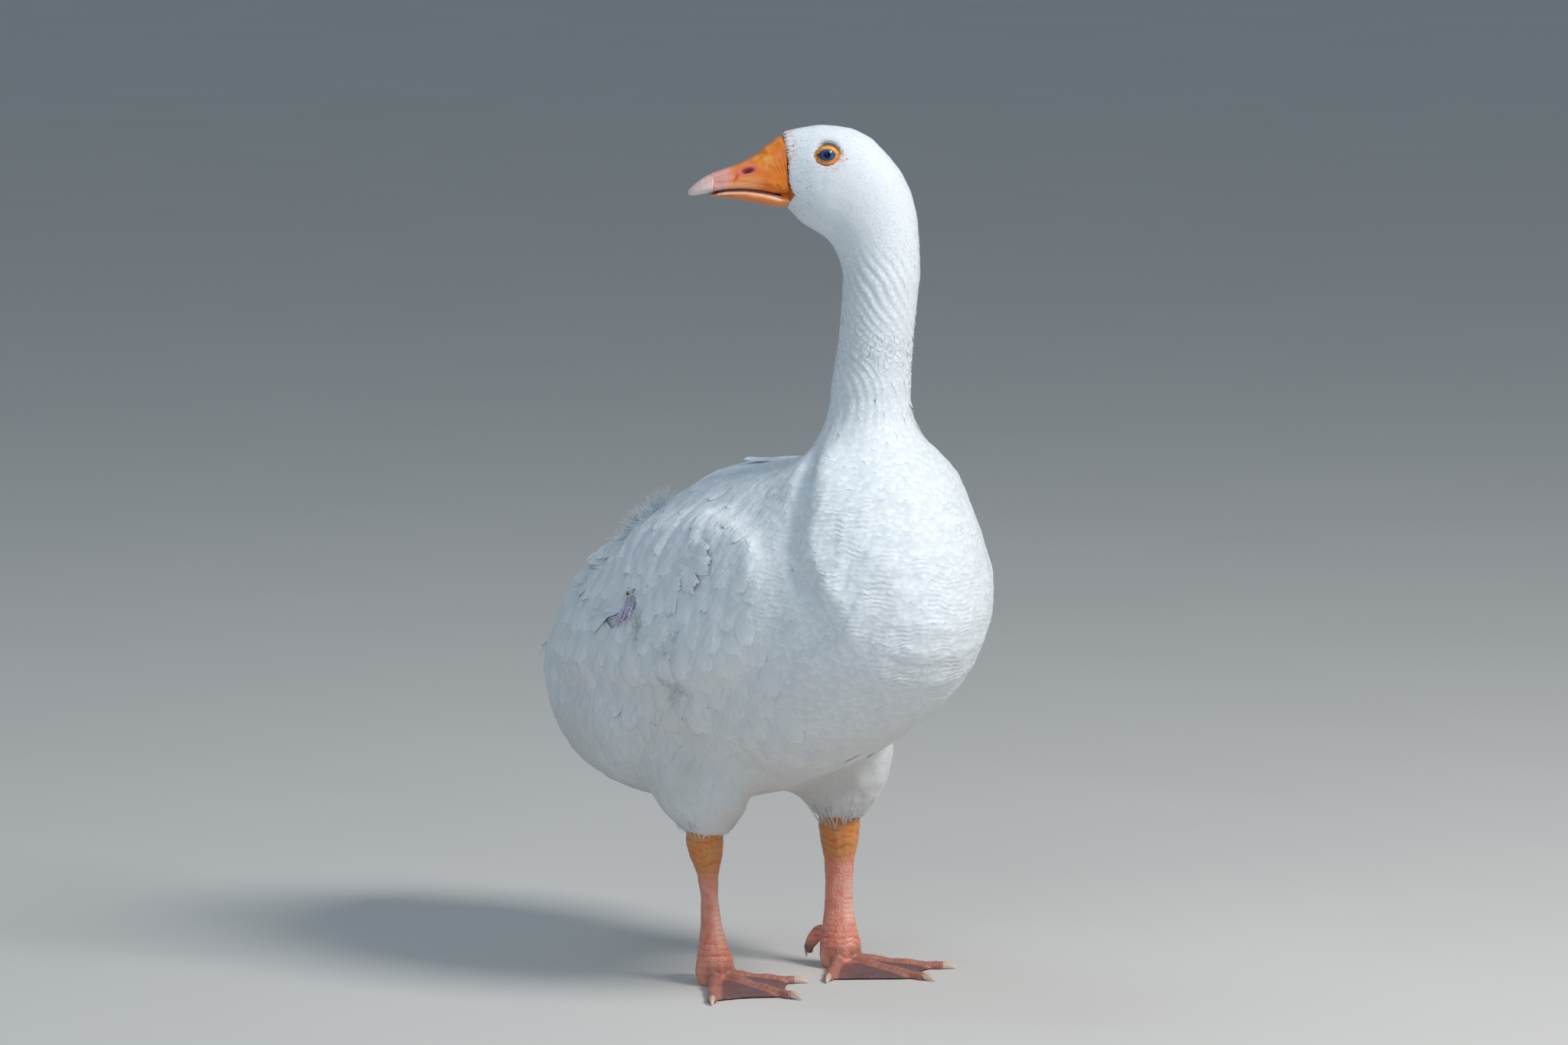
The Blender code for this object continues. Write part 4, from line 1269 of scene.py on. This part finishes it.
def make_lamellae(lower):
    """The comb along the mouth: a row of small pale plates on each side."""
    points, triangles = triangles_of(lower.data)
    tree = BVHTree.FromPolygons(points.tolist(), triangles.tolist())
    all_points, all_quads = [], []
    corners = np.array(list(itertools.product((-1, 1), repeat=3)), float)
    box_quads = np.array(
        [[0, 1, 3, 2], [4, 6, 7, 5], [0, 4, 5, 1], [2, 3, 7, 6], [0, 2, 6, 4], [1, 5, 7, 3]]
    )
    for side in (-1, 1):
        for forward in np.arange(41.0, 91.0, TOOTH_GAP):
            outside = HEAD.place(side * 30, forward, mouth_line(forward) - 0.55)
            spot, normal, _, _ = tree.ray_cast(outside.tolist(), (-side * HEAD.axes[0]).tolist())
            if spot is None:
                continue
            out = unit(np.array(normal))
            along = unit(HEAD.axes[1] - out * (HEAD.axes[1] @ out))
            up = np.cross(out, along) * np.sign(np.cross(out, along) @ HEAD.axes[2])
            half = np.array(TOOTH_SIZE) * MM
            slim = np.where(corners[:, 2:] > 0, 0.6, 1.0)
            shape = corners[:, :1] * half[0] * along * slim + corners[:, 1:2] * half[1] * up * slim
            shape = shape + corners[:, 2:] * half[2] * out
            all_quads.append(box_quads + 8 * len(all_points))
            all_points.append(np.array(spot) + shape)
    mesh = build_mesh("lamellae", np.concatenate(all_points), np.concatenate(all_quads))
    outward(mesh)
    n = Nodes("lamella_horn")
    grain = n.noise(n.place(), 900.0)
    mesh.materials.append(
        n.finish(Base_Color=n.mix(grain, (0.72, 0.55, 0.45, 1), (0.80, 0.68, 0.58, 1)), Roughness=0.45)
    )
    add_piece("lamellae", mesh)


def make_bill():
    bill = make_bill_material()
    bill_part("bill_upper_skin", ["upper_bill"], upper_tucked, upper_shape, bill)
    lower = bill_part("bill_lower_skin", ["lower_bill"], lip_tucked, lower_shape, bill)
    low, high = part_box("bill_nail")
    nail = make_horn_material("nail_horn", NAIL_PALE, NAIL_ROSE, low.z + 0.002, high.z)
    bill_part("bill_nail_skin", ["bill_nail"], as_is, nail_shape, nail)
    make_lamellae(lower)


# ---------------------------------------------------------------- eyes and lids
EYE_RADIUS = 0.0083  # of the ball that shows between the lids
EYE_SINK = 0.0006  # how far it sits inside its solid
EYE_RINGS, EYE_STEPS = 28, 48
CORNEA_REACH, CORNEA_RISE = 0.72, 0.0007  # radians from the axis, and metres
LID_STEPS, LID_ROWS = 72, 13
LID_OUTER = (10.6, 9.6, 7.3, 8.0)  # mm: to the front, the back, above and below
LID_INNER = (7.6, 6.4, 4.4, 4.7)
LID_SINK, LID_RIDGE = 0.25, 0.60  # mm: below the feathers outside, and the roll's height
EYE_LOOK = (0.10, 0.02)  # how far the eye's axis leans forward and up


class Eye:
    """One eye's centre, radius and axes: out of the head, forward and up."""

    def __init__(self, side):
        self.centre = np.array(middle(f"eye_{side}"))
        low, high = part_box(f"eye_{side}")
        sideways = HEAD.axes[0] * np.sign(HEAD.local(self.centre)[0])
        self.radius = EYE_RADIUS
        self.centre = self.centre + sideways * ((high.z - low.z) / 2 - EYE_RADIUS - EYE_SINK)
        self.out = unit(sideways + EYE_LOOK[0] * HEAD.axes[1] + EYE_LOOK[1] * HEAD.axes[2])
        self.forward = unit(HEAD.axes[1] - self.out * (HEAD.axes[1] @ self.out))
        self.up = np.cross(self.out, self.forward)
        self.up *= np.sign(self.up @ HEAD.axes[2])

    def flat(self, forward, up):
        """Places in the plane through the eye's centre, across its axis."""
        return self.centre + forward[:, None] * self.forward + up[:, None] * self.up


def grid_quads(rows, columns):
    """Quads of a sheet whose columns close on themselves."""
    r, c = np.meshgrid(np.arange(rows - 1), np.arange(columns), indexing="ij")
    beside = (c + 1) % columns
    here, above = r * columns, (r + 1) * columns
    return np.stack([here + c, here + beside, above + beside, above + c], -1).reshape(-1, 4)


def outward(mesh):
    bm = bmesh.new()
    bm.from_mesh(mesh)
    bmesh.ops.recalc_face_normals(bm, faces=bm.faces)
    bm.to_mesh(mesh)
    bm.free()


def make_eyeball(side, material):
    eye = Eye(side)
    angle = np.linspace(0.004, math.pi - 0.004, EYE_RINGS)
    turn = np.arange(EYE_STEPS) * 2 * math.pi / EYE_STEPS
    a, t = np.meshgrid(angle, turn, indexing="ij")
    radius = eye.radius + CORNEA_RISE * np.cos(np.clip(a / CORNEA_REACH, 0, 1) * math.pi / 2) ** 2
    ring = np.cos(t)[..., None] * eye.forward + np.sin(t)[..., None] * eye.up
    points = eye.centre + radius[..., None] * (np.cos(a)[..., None] * eye.out + np.sin(a)[..., None] * ring)
    caps = np.stack([np.arange(EYE_STEPS), (EYE_RINGS - 1) * EYE_STEPS + np.arange(EYE_STEPS)[::-1]])
    mesh = build_mesh(f"eyeball_{side}", points.reshape(-1, 3), grid_quads(EYE_RINGS, EYE_STEPS), caps)
    outward(mesh)
    set_attribute(mesh, "off_axis", a.ravel())
    set_attribute(mesh, "round", (np.abs(t - math.pi) * 2.0).ravel())
    mesh.materials.append(material)
    piece = add_piece(f"eyeball_{side}", mesh)
    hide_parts(f"eye_{side}")
    return eye


def almond(turn, size):
    """An eyelid's outline: pointed to the front, rounder to the back. (forward, up) in metres."""
    front, back, above, under = size
    c, s = np.cos(turn), np.sin(turn)
    point = np.where(c > 0, 1 + 0.9 * c**2, 1 + 0.25 * c**2)
    rise = np.abs(s) ** point * np.sign(s)
    forward = np.where(c > 0, front, back) * c
    level = np.where(s > 0, above, under) * rise - 0.6 * np.maximum(c, 0) ** 2
    return forward * MM, level * MM


def make_lid(eye, side, surface, material):
    """The bare ring of both eyelids, from under the feathers to the edge on the eye, which is darkened as
    painted shade.
    """
    turn = np.arange(LID_STEPS) * 2 * math.pi / LID_STEPS
    outer, inner = np.stack(almond(turn, LID_OUTER)), np.stack(almond(turn, LID_INNER))
    rows, masks = [], {"under": [], "margin_shade": []}
    folds = 0.25 * np.sin(turn * 9 + 2 * np.sin(turn * 4))
    for k in range(LID_ROWS):
        share = k / (LID_ROWS - 1)
        forward, up = outer + (inner - outer) * share
        flat = eye.flat(forward, up)
        skin, _ = surface.nearest(flat + eye.out * 0.012)
        skin_level = (skin - eye.centre) @ eye.out - LID_SINK * MM
        ball = np.sqrt(np.maximum(eye.radius**2 - forward**2 - up**2, 0))
        roll = math.sin(math.pi * min(share * 1.02, 1)) ** 0.8
        level = skin_level + (ball + 0.0002 - skin_level) * smooth_step(share, 0.1, 0.95)
        level = np.maximum(level, np.where(ball > 0, ball + 0.0003, level))
        level = level + LID_RIDGE * MM * roll * (1 + folds * (share < 0.7))
        rows.append(flat + level[:, None] * eye.out)
        masks["under"].append(smooth_step(-np.sin(turn), -0.2, 0.8) * 0.6)
        # painted shade where the lid meets the eye
        masks["margin_shade"].append(np.full(LID_STEPS, smooth_step(share, 0.86, 0.98)) * 0.8)
    forward, up = inner * 1.03
    ball = np.sqrt(np.maximum((eye.radius - 0.0009) ** 2 - forward**2 - up**2, 0))
    rows.append(eye.flat(forward, up) + ball[:, None] * eye.out)
    rows.append(eye.flat(*outer) + (eye.radius * 0.45) * eye.out)
    for mask in masks.values():
        mask += [mask[-1], mask[0]]
    first = np.arange(LID_STEPS)
    last = (len(rows) - 1) * LID_STEPS + first
    close = np.stack([last, np.roll(last, -1), np.roll(first, -1), first], 1)
    mesh = build_mesh(f"eyelid_{side}", np.concatenate(rows), grid_quads(len(rows), LID_STEPS), close)
    outward(mesh)
    for name, values in masks.items():
        set_attribute(mesh, name, np.concatenate(values))
    mesh.materials.append(material)
    add_piece(f"eyelid_{side}", mesh)


def make_eyes(surface):
    ball, lid = make_eye_material(), make_lid_material()
    eyes = []
    for side in SIDES:
        eyes.append(make_eyeball(side, ball))
        make_lid(eyes[-1], side, surface, lid)
    return eyes


# ---------------------------------------------------------------- coat
def region_of(places, normals):
    """The name of the coat piece that each root belongs to."""
    head = HEAD.local(places)
    region = np.full(len(places), "belly", dtype=object)
    region[normals[:, 2] > 0.15] = "back"
    neck_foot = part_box("neck_lower")[0].z
    region[(places[:, 1] < -0.13) & (normals[:, 1] < 0.3)] = "breast"
    region[places[:, 2] > neck_foot + 0.02] = "neck"
    region[(head[:, 2] > -72) & (places[:, 2] > 0.58)] = "head"
    region[LIE.thigh_share(places) > 0.5] = "thigh"
    return region + np.where(places[:, 0] > 0, "_left", "_right").astype(object)


def bare_face(places, eyes):
    """True where the bill or an eyelid takes the feathers' place."""
    _, forward, up = HEAD.local(places).T
    bare = (forward > feather_edge(up) + face_overlap(up) + 0.1) & (up > -44.0) & (places[:, 2] > 0.6)
    for eye in eyes:
        apart = places - eye.centre
        f, u = apart @ eye.forward / MM, apart @ eye.up / MM
        near = apart @ eye.out > 0
        front, back, above, under = LID_OUTER
        reach = np.hypot(f / np.where(f > 0, front, back), u / np.where(u > 0, above, under))
        bare |= near & (reach < 0.84 + 0.20 * smooth_step(f / front, 0.25, 0.75))
    return bare


def blushes(places, eyes):
    """Orange stain on some feathers round the eyes and along the bill."""
    _, forward, up = HEAD.local(places).T
    near = np.zeros(len(places))
    for eye in eyes:
        apart = np.linalg.norm(places - eye.centre - eye.out * eye.radius, axis=1)
        near = np.maximum(near, 0.30 * smooth_step(-apart, -0.0150, -0.0125))
    edge = feather_edge(up) - forward
    beside = 0.42 * smooth_step(-edge, -4.5, -1.5) * smooth_step(up, -12, 4) * (places[:, 2] > 0.6)
    return (RNG.random(len(places)) < np.maximum(near, beside)) * RNG.uniform(0.4, 1.0, len(places))


NAPE_OUT = np.array([0.85, 0.2, 0.0])  # the side that the neck's longer tips stand out on
COAT_SINK = 0.17  # of the coat's depth that the roots lie under its surface
TAIL_BARE = 0.046  # metres at the tail's end that only the tail's own feathers cover
# The coat's feathers: (shortest, longest in metres, their vane, width over length).
COAT_KINDS = [
    (0.0, 0.0075, TINY, 0.47), (0.0075, 0.021, NARROW, 0.42), (0.021, 0.034, CONTOUR, 0.52),
    (0.034, 1.0, BROAD, 0.55),
]


# How far apart the roots are, by the feathers' length: (length, gap) in metres.
SPACING = [(0.003, 0.00095), (0.006, 0.00125), (0.015, 0.0026), (0.03, 0.0052), (0.05, 0.0088)]


def coat_spacing(places, normals):
    length = LIE.length(places, normals)
    return np.interp(length, *np.array(SPACING).T)


def over_gap(roots, ways, length, reach):
    """True for feathers that would cover the moulted patch."""
    covers = np.zeros(len(roots), bool)
    for share in (0, 0.25, 0.5, 0.75, 1.0):
        covers |= from_gap(roots + ways * np.reshape(length * share, (-1, 1))) < reach
    return covers


def make_coat(surface, eyes):
    """The whole small plumage, from the velvet of the face to the feathers of the rump."""
    roots, normals = surface.scattered(coat_spacing)
    bare = bare_face(roots, eyes) | (roots[:, 1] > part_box("tail")[1].y - TAIL_BARE)
    roots, normals = roots[~bare], normals[~bare]
    ways = LIE.way(roots, normals)
    clear = ~over_gap(roots, ways, LIE.length(roots, normals), 0.95)
    roots, normals, ways = roots[clear], normals[clear], ways[clear]
    ways = unit(ways + 0.12 * np.cross(normals, ways) * RNG.normal(size=(len(roots), 1)))
    length = LIE.length(roots, normals) * RNG.uniform(0.88, 1.12, len(roots))
    depth = LIE.depth(roots, normals)
    blush = blushes(roots, eyes)
    region = region_of(roots, normals)
    stray = (RNG.random(len(roots)) < 0.05) * RNG.uniform(0.01, 0.05, len(roots))
    nape = between(roots[:, 2], 0.46, 0.50, 0.64, 0.69) * smooth_step(normals @ NAPE_OUT, 0.2, 0.75)
    lift = RNG.uniform(0, 0.005, len(roots)) * (length > 0.0075)
    lift += stray * 0.07 + nape * RNG.uniform(0.0, 0.10, len(roots))
    for name in sorted(set(region)):
        feathers = Feathers()
        for low, high, vane, ratio in COAT_KINDS:
            pick = (region == name) & (length >= low) & (length < high)
            sizes = {
                "length": length[pick],
                "width": length[pick] * ratio,
                "depth": depth[pick] * COAT_SINK,
                "lift": lift[pick] * length[pick],
                "camber": 0.08,
                "roll": RNG.normal(0, 0.02, pick.sum()),
                "blush": blush[pick],
            }
            feathers.lay(surface, vane, roots[pick], normals[pick], ways[pick], sizes, soft=0.35)
        feathers.piece(f"coat_{name}", PLUMAGE)


# ---------------------------------------------------------------- large feathers
COLUMN_GAP, ROW_GAP = 0.0155, 0.021  # metres between the hanging columns of a wing, and their rows
WING_ROWS, WING_COLUMNS = 8, 19
WING_FRONT = -0.150  # the foremost column's y
SHOULDER_Z = 0.428  # where the columns start, at their highest


def on_surface(surface, places):
    """Places moved onto the surface, its normals there, and the coat's way."""
    spots, normals = surface.nearest(np.array(places, float))
    return spots, normals, LIE.way(spots, normals)


def turned(ways, normals, angle):
    """Ways turned in the surface, towards the left of who looks along them from outside."""
    angle = np.asarray(angle)[:, None]
    return ways * np.cos(angle) + np.cross(normals, ways) * np.sin(angle)


def make_wing(side, surface):
    """Scapulars and coverts, hanging from the shoulder in staggered columns."""
    places, grown = [], []
    for column in range(WING_COLUMNS):
        y = WING_FRONT + COLUMN_GAP * column
        top = SHOULDER_Z - 0.9 * max(y, 0) - 1.2 * max(-y - 0.10, 0)
        for row in range(WING_ROWS):
            z = top - ROW_GAP * (row + 0.5 * (column % 2))
            places.append((SIDES[side] * 0.2, y, z))
            grown.append(min(row / 5, 1))
    places = np.array(places) + RNG.normal(0, 0.0016, (len(places), 3))
    hits = [surface.tree.ray_cast(p, (-SIDES[side], 0, 0)) for p in places.tolist()]
    kept = [k for k, h in enumerate(hits) if h[0] is not None and abs(h[0][0]) > 0.03]
    grown = np.array(grown)[kept]
    roots, normals, ways = on_surface(surface, [hits[k][0].to_tuple() for k in kept])
    back = smooth_step(roots[:, 1], -0.08, 0.12)
    lean = np.stack([np.zeros(len(roots)), 0.10 + 0.75 * back, -np.ones(len(roots))], 1)
    ways = unit(lean - normals * dot(lean, normals))
    ways = turned(ways, normals, RNG.normal(0, 0.10, len(roots)))
    length = (0.036 + 0.024 * grown) * RNG.uniform(0.9, 1.12, len(roots))
    clear = ~over_gap(roots, ways, length, 1.15)
    roots, normals, ways, length = roots[clear], normals[clear], ways[clear], length[clear]
    sizes = {
        "length": length,
        "width": length * 0.30 + 0.010,
        "depth": 0.0022,
        "lift": 0.0003 + length * RNG.uniform(0.0, 0.012, len(roots)),
        "camber": 0.18,
        "roll": RNG.normal(0, 0.08, len(roots)),
    }
    feathers = Feathers()
    feathers.lay(surface, PENNA, roots, normals, ways, sizes, soft=0.6)
    feathers.piece(f"wing_feathers_{side}", PENNACEOUS)


# Rows of tail feathers, undermost first: (how many, root's y from the tail's end, length, width) in mm.
TAIL_ROWS = [(10, -62, 90, 21), (9, -72, 74, 20), (10, -84, 58, 20), (9, -100, 52, 20)]


def make_tail(surface):
    """The tail's own feathers in a low fan, with three rows of coverts over their roots."""
    low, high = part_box("tail")
    half = (high.x - low.x) / 2
    feathers = Feathers()
    for row, (count, start, length, width) in enumerate(TAIL_ROWS):
        share = np.linspace(-1, 1, count)
        begin = high.y + start * MM + RNG.normal(0, 0.0035, count) * (row > 0)
        end = np.minimum(begin + 0.9 * length * MM, high.y - 0.012)
        spots, facing = [], []
        for reach, y in ((0.58, begin), (0.80, end)):
            ridge = [surface.tree.ray_cast((0, value, 0.6), (0, 0, -1))[0].z for value in y.tolist()]
            found, normals = surface.nearest(np.stack([share * half * reach, y, ridge], 1))
            spots.append(found)
            facing.append(normals)
        ways = unit(spots[1] - spots[0])
        normals = facing[0] + facing[1]
        normals = unit(normals - ways * dot(normals, ways))
        sizes = {
            "length": length * MM * (1 - 0.16 * share**2) * RNG.uniform(0.90, 1.04, count),
            "width": width * MM, "depth": 0.0030, "lift": 0.0011,
            "camber": 0.20, "roll": -0.10 * share,
        }
        feathers.lay(surface, RECTRIX, spots[0], normals, ways, sizes, soft=0.7, cling=False)
    feathers.piece("tail_feathers", PENNACEOUS)


# Ruffled feathers round the moulted patch: (y, z, turn from straight down towards the tail in
# degrees, length, width and lift in mm).
RUFFLED = [
    (-0.057, 0.379, -70, 44, 20, 8), (-0.051, 0.372, -68, 58, 22, 10), (-0.042, 0.366, -64, 60, 22, 9),
    (-0.037, 0.359, -60, 54, 20, 8), (-0.034, 0.352, -55, 44, 18, 7), (-0.060, 0.345, -20, 44, 20, 4),
    (0.022, 0.372, 62, 54, 20, 15), (0.036, 0.360, 76, 56, 18, 18), (0.044, 0.350, 84, 54, 16, 16),
    (0.060, 0.338, 88, 48, 16, 14), (0.062, 0.362, 68, 48, 18, 11), (0.000, 0.380, 20, 42, 20, 4),
    (0.078, 0.318, 60, 46, 20, 5), (0.046, 0.300, 35, 40, 18, 4),
]
FANS = [
    (-0.078, 0.300, -50, 32, 18, 5), (-0.056, 0.292, -70, 30, 17, 6), (-0.030, 0.292, -35, 32, 18, 6),
    (-0.095, 0.280, -30, 30, 16, 4), (-0.064, 0.268, -58, 34, 18, 5), (-0.036, 0.266, -80, 30, 16, 5),
    (-0.006, 0.282, -15, 34, 18, 6), (0.016, 0.296, 25, 32, 17, 6), (-0.010, 0.256, -40, 32, 17, 5),
    (-0.084, 0.250, -45, 30, 17, 4), (-0.050, 0.240, -65, 32, 16, 4), (0.020, 0.262, 15, 34, 18, 5),
    (-0.110, 0.262, -25, 28, 15, 3), (-0.024, 0.228, -30, 30, 16, 3), (0.048, 0.272, 50, 34, 17, 5),
    (-0.070, 0.315, -40, 34, 18, 6), (-0.046, 0.318, -58, 34, 18, 7), (-0.090, 0.225, -38, 28, 16, 3),
    (-0.060, 0.215, -50, 28, 16, 3), (0.000, 0.235, -10, 32, 17, 4), (0.034, 0.240, 20, 34, 18, 4),
]


def flank_roots(surface, sign, rows):
    """Roots, normals and straight-down ways for places given by y and z on one flank."""
    hits = [surface.tree.ray_cast((sign * 0.3, y, z), (-sign, 0, 0)) for y, z, *_ in rows]
    roots, normals, _ = on_surface(surface, [h[0].to_tuple() for h in hits])
    down = np.array([[0, 0, -1.0]]) - normals * -normals[:, 2:]
    return roots, normals, unit(down)


def make_ruffle(surface):
    """Torn and fanned feathers on the right flank, with the odd one on the left."""
    feathers = Feathers()
    for sign, rows, vane in ((-1, FANS, PENNA), (-1, RUFFLED, TORN), (1, FANS[::3], PENNA)):
        roots, normals, down = flank_roots(surface, sign, rows)
        turn, length, width, lift = np.array([row[2:] for row in rows], float).T
        back = np.cross(normals, down) * sign
        angle = np.radians(turn)[:, None]
        ways = down * np.cos(angle) + back * np.sin(angle) * np.sign(back[:, 1:2])
        sizes = {
            "length": length * MM, "width": width * MM, "depth": 0.001,
            "lift": lift * MM * (0.38 if vane is TORN else 0.14), "camber": 0.24,
            "roll": RNG.normal(0, 0.04, len(rows)), "curl": RNG.normal(0, 0.45, len(rows)),
        }
        feathers.lay(surface, vane, roots, normals, unit(ways), sizes, soft=0.8)
    place, normal, way = on_surface(surface, [(-0.014, -0.062, 0.45)])
    sizes = {"length": 0.042, "width": 0.013, "depth": 0.0, "lift": 0.0045, "camber": 0.3}
    feathers.lay(surface, TORN, place, normal, unit(way + [[-0.25, 0, 0]]), sizes, soft=0.8)
    feathers.piece("ruffled_feathers", PENNACEOUS)


# Tufts of down: (x, y, z) near the surface, the way they point, their length in mm and strands.
TUFTS = [
    ((-0.085, 0.040, 0.40), (-0.2, 1.0, 0.5), 30, 80), ((-0.075, 0.055, 0.39), (-0.1, 1.0, 0.3), 28, 70),
    ((-0.100, 0.028, 0.38), (-0.3, 0.8, 0.8), 26, 50), ((-0.125, -0.010, 0.330), (0.0, 0.3, -1.0), 14, 26),
    ((-0.125, -0.020, 0.300), (0.0, -1.0, 0.4), 20, 36), ((-0.122, 0.030, 0.300), (0.0, 0.5, 1.0), 16, 30),
    ((-0.118, 0.075, 0.320), (-0.2, 1.0, 0.3), 16, 22),
    ((-0.120, -0.060, 0.300), (0.0, -1.0, -0.3), 22, 30),
    ((-0.06, 0.130, 0.345), (0.0, 1.0, 0.4), 14, 16),
    ((-0.118, -0.045, 0.262), (0.0, -0.9, -0.4), 24, 28),
]
TUFT_FILL = 2.4  # times the strands in the list
HOCK_STRANDS = {"left": 120, "right": 110}
HOCK_RADIUS = 0.019  # of the ring of wisps at the end of each thigh


def make_down(surface):
    """Fine curved strands: tufts of loose down, and wisps at the ends of the thighs."""
    feathers = Feathers()
    for place, way, length, count in TUFTS:
        count = round(count * TUFT_FILL)
        root, _ = surface.nearest(np.array([place]))
        roots, normals = surface.nearest(root + RNG.normal(0, 0.0038, (count, 3)))
        ways = np.array([way], float) - normals * dot(np.array([way]), normals)
        ways = turned(unit(ways), normals, RNG.normal(0, 0.7, count))
        sizes = {
            "length": length * MM * RNG.uniform(0.5, 1.15, count), "width": 0.00060, "depth": 0.001,
            "lift": length * MM * RNG.uniform(0.1, 0.55, count), "camber": 0.3,
            "curl": RNG.normal(0, 1.9, count),
        }
        feathers.lay(surface, STRAND, roots, normals, ways, sizes)
    for side, sign in SIDES.items():
        count = HOCK_STRANDS[side]
        low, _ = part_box(f"thigh_{side}")
        turn = RNG.uniform(0, 2 * math.pi, count)
        shank = middle(f"shank_{side}")
        ring = np.stack([np.cos(turn), np.sin(turn)], 1)
        level = low.z + RNG.uniform(0.004, 0.020, count)
        places = np.column_stack([np.array(shank[:2]) + HOCK_RADIUS * ring, level])
        roots, normals, _ = on_surface(surface, places)
        roots -= normals * 0.0008
        roots[:, 2] = np.minimum(roots[:, 2], low.z + 0.012)
        ways = unit(np.column_stack([-0.06 * ring, -np.ones(count)]))
        inner = smooth_step(-ring[:, 0] * sign, -0.2, 0.8) * (sign > 0)
        sizes = {
            "length": (0.009 + 0.010 * inner) * RNG.uniform(0.6, 1.4, count),
            "width": RNG.uniform(0.0004, 0.0012, count), "depth": 0.0, "lift": 0.0003,
            "camber": 0.3, "curl": RNG.normal(0, 0.25, count),
        }
        feathers.lay(surface, STRAND, roots, normals, ways, sizes, cling=False)
    feathers.piece("loose_down", PLUMAGE)


SHEATHS = 7  # in the row on the moulted patch


def make_sheaths(surface):
    """A row of lavender sheaths of new feathers on the moulted patch's bare rosy skin."""
    n = Nodes("feather_sheath")
    grain = n.noise(n.place(), 500.0)
    colour = n.mix(grain, (0.46, 0.40, 0.58, 1), (0.68, 0.63, 0.78, 1))
    material = n.finish(Base_Color=colour, Roughness=0.4, Normal=n.bump(grain, 0.2, 0.0003))
    shares = np.linspace(-1, 1, SHEATHS)
    places = GAP + np.stack([np.zeros(SHEATHS), 0.0105 * shares, 0.011 - 0.004 * shares], 1)
    roots, normals, _ = on_surface(surface, places)
    ways = unit(np.stack([np.full(SHEATHS, -0.25), -0.42 + 0.1 * shares, -np.ones(SHEATHS)], 1))
    feathers = Feathers()
    sizes = {
        "length": RNG.uniform(0.018, 0.025, SHEATHS), "width": 0.0031, "depth": 0.003, "lift": 0.0060,
        "camber": 0.9,
    }
    feathers.lay(surface, QUILL, roots, normals, ways, sizes, soft=1.0)
    feathers.piece("feather_sheaths", material)


# ---------------------------------------------------------------- claws
def finish_claws():
    claw = make_horn_material("claw_horn", (0.62, 0.40, 0.28, 1), (0.74, 0.66, 0.56, 1), 0.006, 0.001)
    for toe, side in itertools.product(("hind", "inner", "middle", "outer"), SIDES):
        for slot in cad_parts[f"claw_{toe}_{side}"].material_slots:
            slot.material = claw


# ---------------------------------------------------------------- stage
AZIMUTH, ELEVATION, DISTANCE, LENS = -36, 7.5, 6.5, 181  # degrees, degrees, metres, mm
AIM_Y, AIM_Z, AIM_RIGHT = -0.0333, 0.382, 0.0038  # y from the CAD box's middle, height, sideways
# The lights: (name, place, watts, size, colour).
LIGHTS = [
    ("key", (0.9, -2.5, 2.8), 108, 1.1, (1.0, 0.98, 0.95)),
    ("fill", (-2.7, -2.0, 1.9), 25, 2.2, (0.72, 0.87, 1.0)),
    ("top", (-0.9, 1.2, 3.6), 15, 1.6, (0.74, 0.88, 1.0)),
]
SKY, SKY_STRENGTH = (0.68, 0.85, 1.0, 1), 0.29


def make_camera():
    """The camera at the photograph's angle: to the bird's front right, a little above."""
    azimuth, elevation = math.radians(AZIMUTH), math.radians(ELEVATION)
    right = Vector((math.cos(azimuth), math.sin(azimuth), 0))
    low, high = cad_box
    aim = Vector((0, (low.y + high.y) / 2 + AIM_Y, AIM_Z)) + right * AIM_RIGHT
    level = math.cos(elevation)
    back = Vector((math.sin(azimuth) * level, -math.cos(azimuth) * level, math.sin(elevation)))
    camera = bpy.data.objects.new("camera", bpy.data.cameras.new("camera"))
    camera.data.lens, camera.data.sensor_width, camera.data.clip_end = LENS, 36, 300
    camera.location = aim + back * DISTANCE
    camera.rotation_euler = (-back).to_track_quat("-Z", "Y").to_euler()
    bpy.context.scene.collection.objects.link(camera)
    bpy.context.scene.camera = camera
    bpy.context.scene.view_settings.view_transform = "Standard"  # whites and oranges stay true


def make_light(name, place, energy, size, colour):
    data = bpy.data.lights.new(name, "AREA")
    data.energy, data.size, data.color = energy, size, colour
    light = bpy.data.objects.new(name, data)
    light.location = place
    light.rotation_euler = (Vector((0, 0, 0.35)) - light.location).to_track_quat("-Z", "Y").to_euler()
    bpy.context.scene.collection.objects.link(light)


def make_stage():
    n = Nodes("floor")
    floor_colour = n.mix(n.noise(n.place(), 3.0), (0.60, 0.575, 0.545, 1), (0.64, 0.615, 0.585, 1))
    material = n.finish(Base_Color=floor_colour, Roughness=0.85)
    bm = bmesh.new()
    bmesh.ops.create_grid(bm, x_segments=8, y_segments=8, size=120)
    mesh = bpy.data.meshes.new("floor")
    bm.to_mesh(mesh)
    bm.free()
    mesh.materials.append(material)
    floor = bpy.data.objects.new("floor", mesh)
    bpy.context.scene.collection.objects.link(floor)
    world = bpy.data.worlds.new("world")
    world.use_nodes = True
    background = world.node_tree.nodes["Background"]
    background.inputs["Color"].default_value = SKY
    background.inputs["Strength"].default_value = SKY_STRENGTH
    bpy.context.scene.world = world
    for light in LIGHTS:
        make_light(*light)


surface = make_surface()
make_skin(surface)
make_bill()
eyes = make_eyes(surface)
make_coat(surface, eyes)
for wing in SIDES:
    make_wing(wing, surface)
make_tail(surface)
make_ruffle(surface)
make_down(surface)
make_sheaths(surface)
finish_claws()
make_camera()
make_stage()
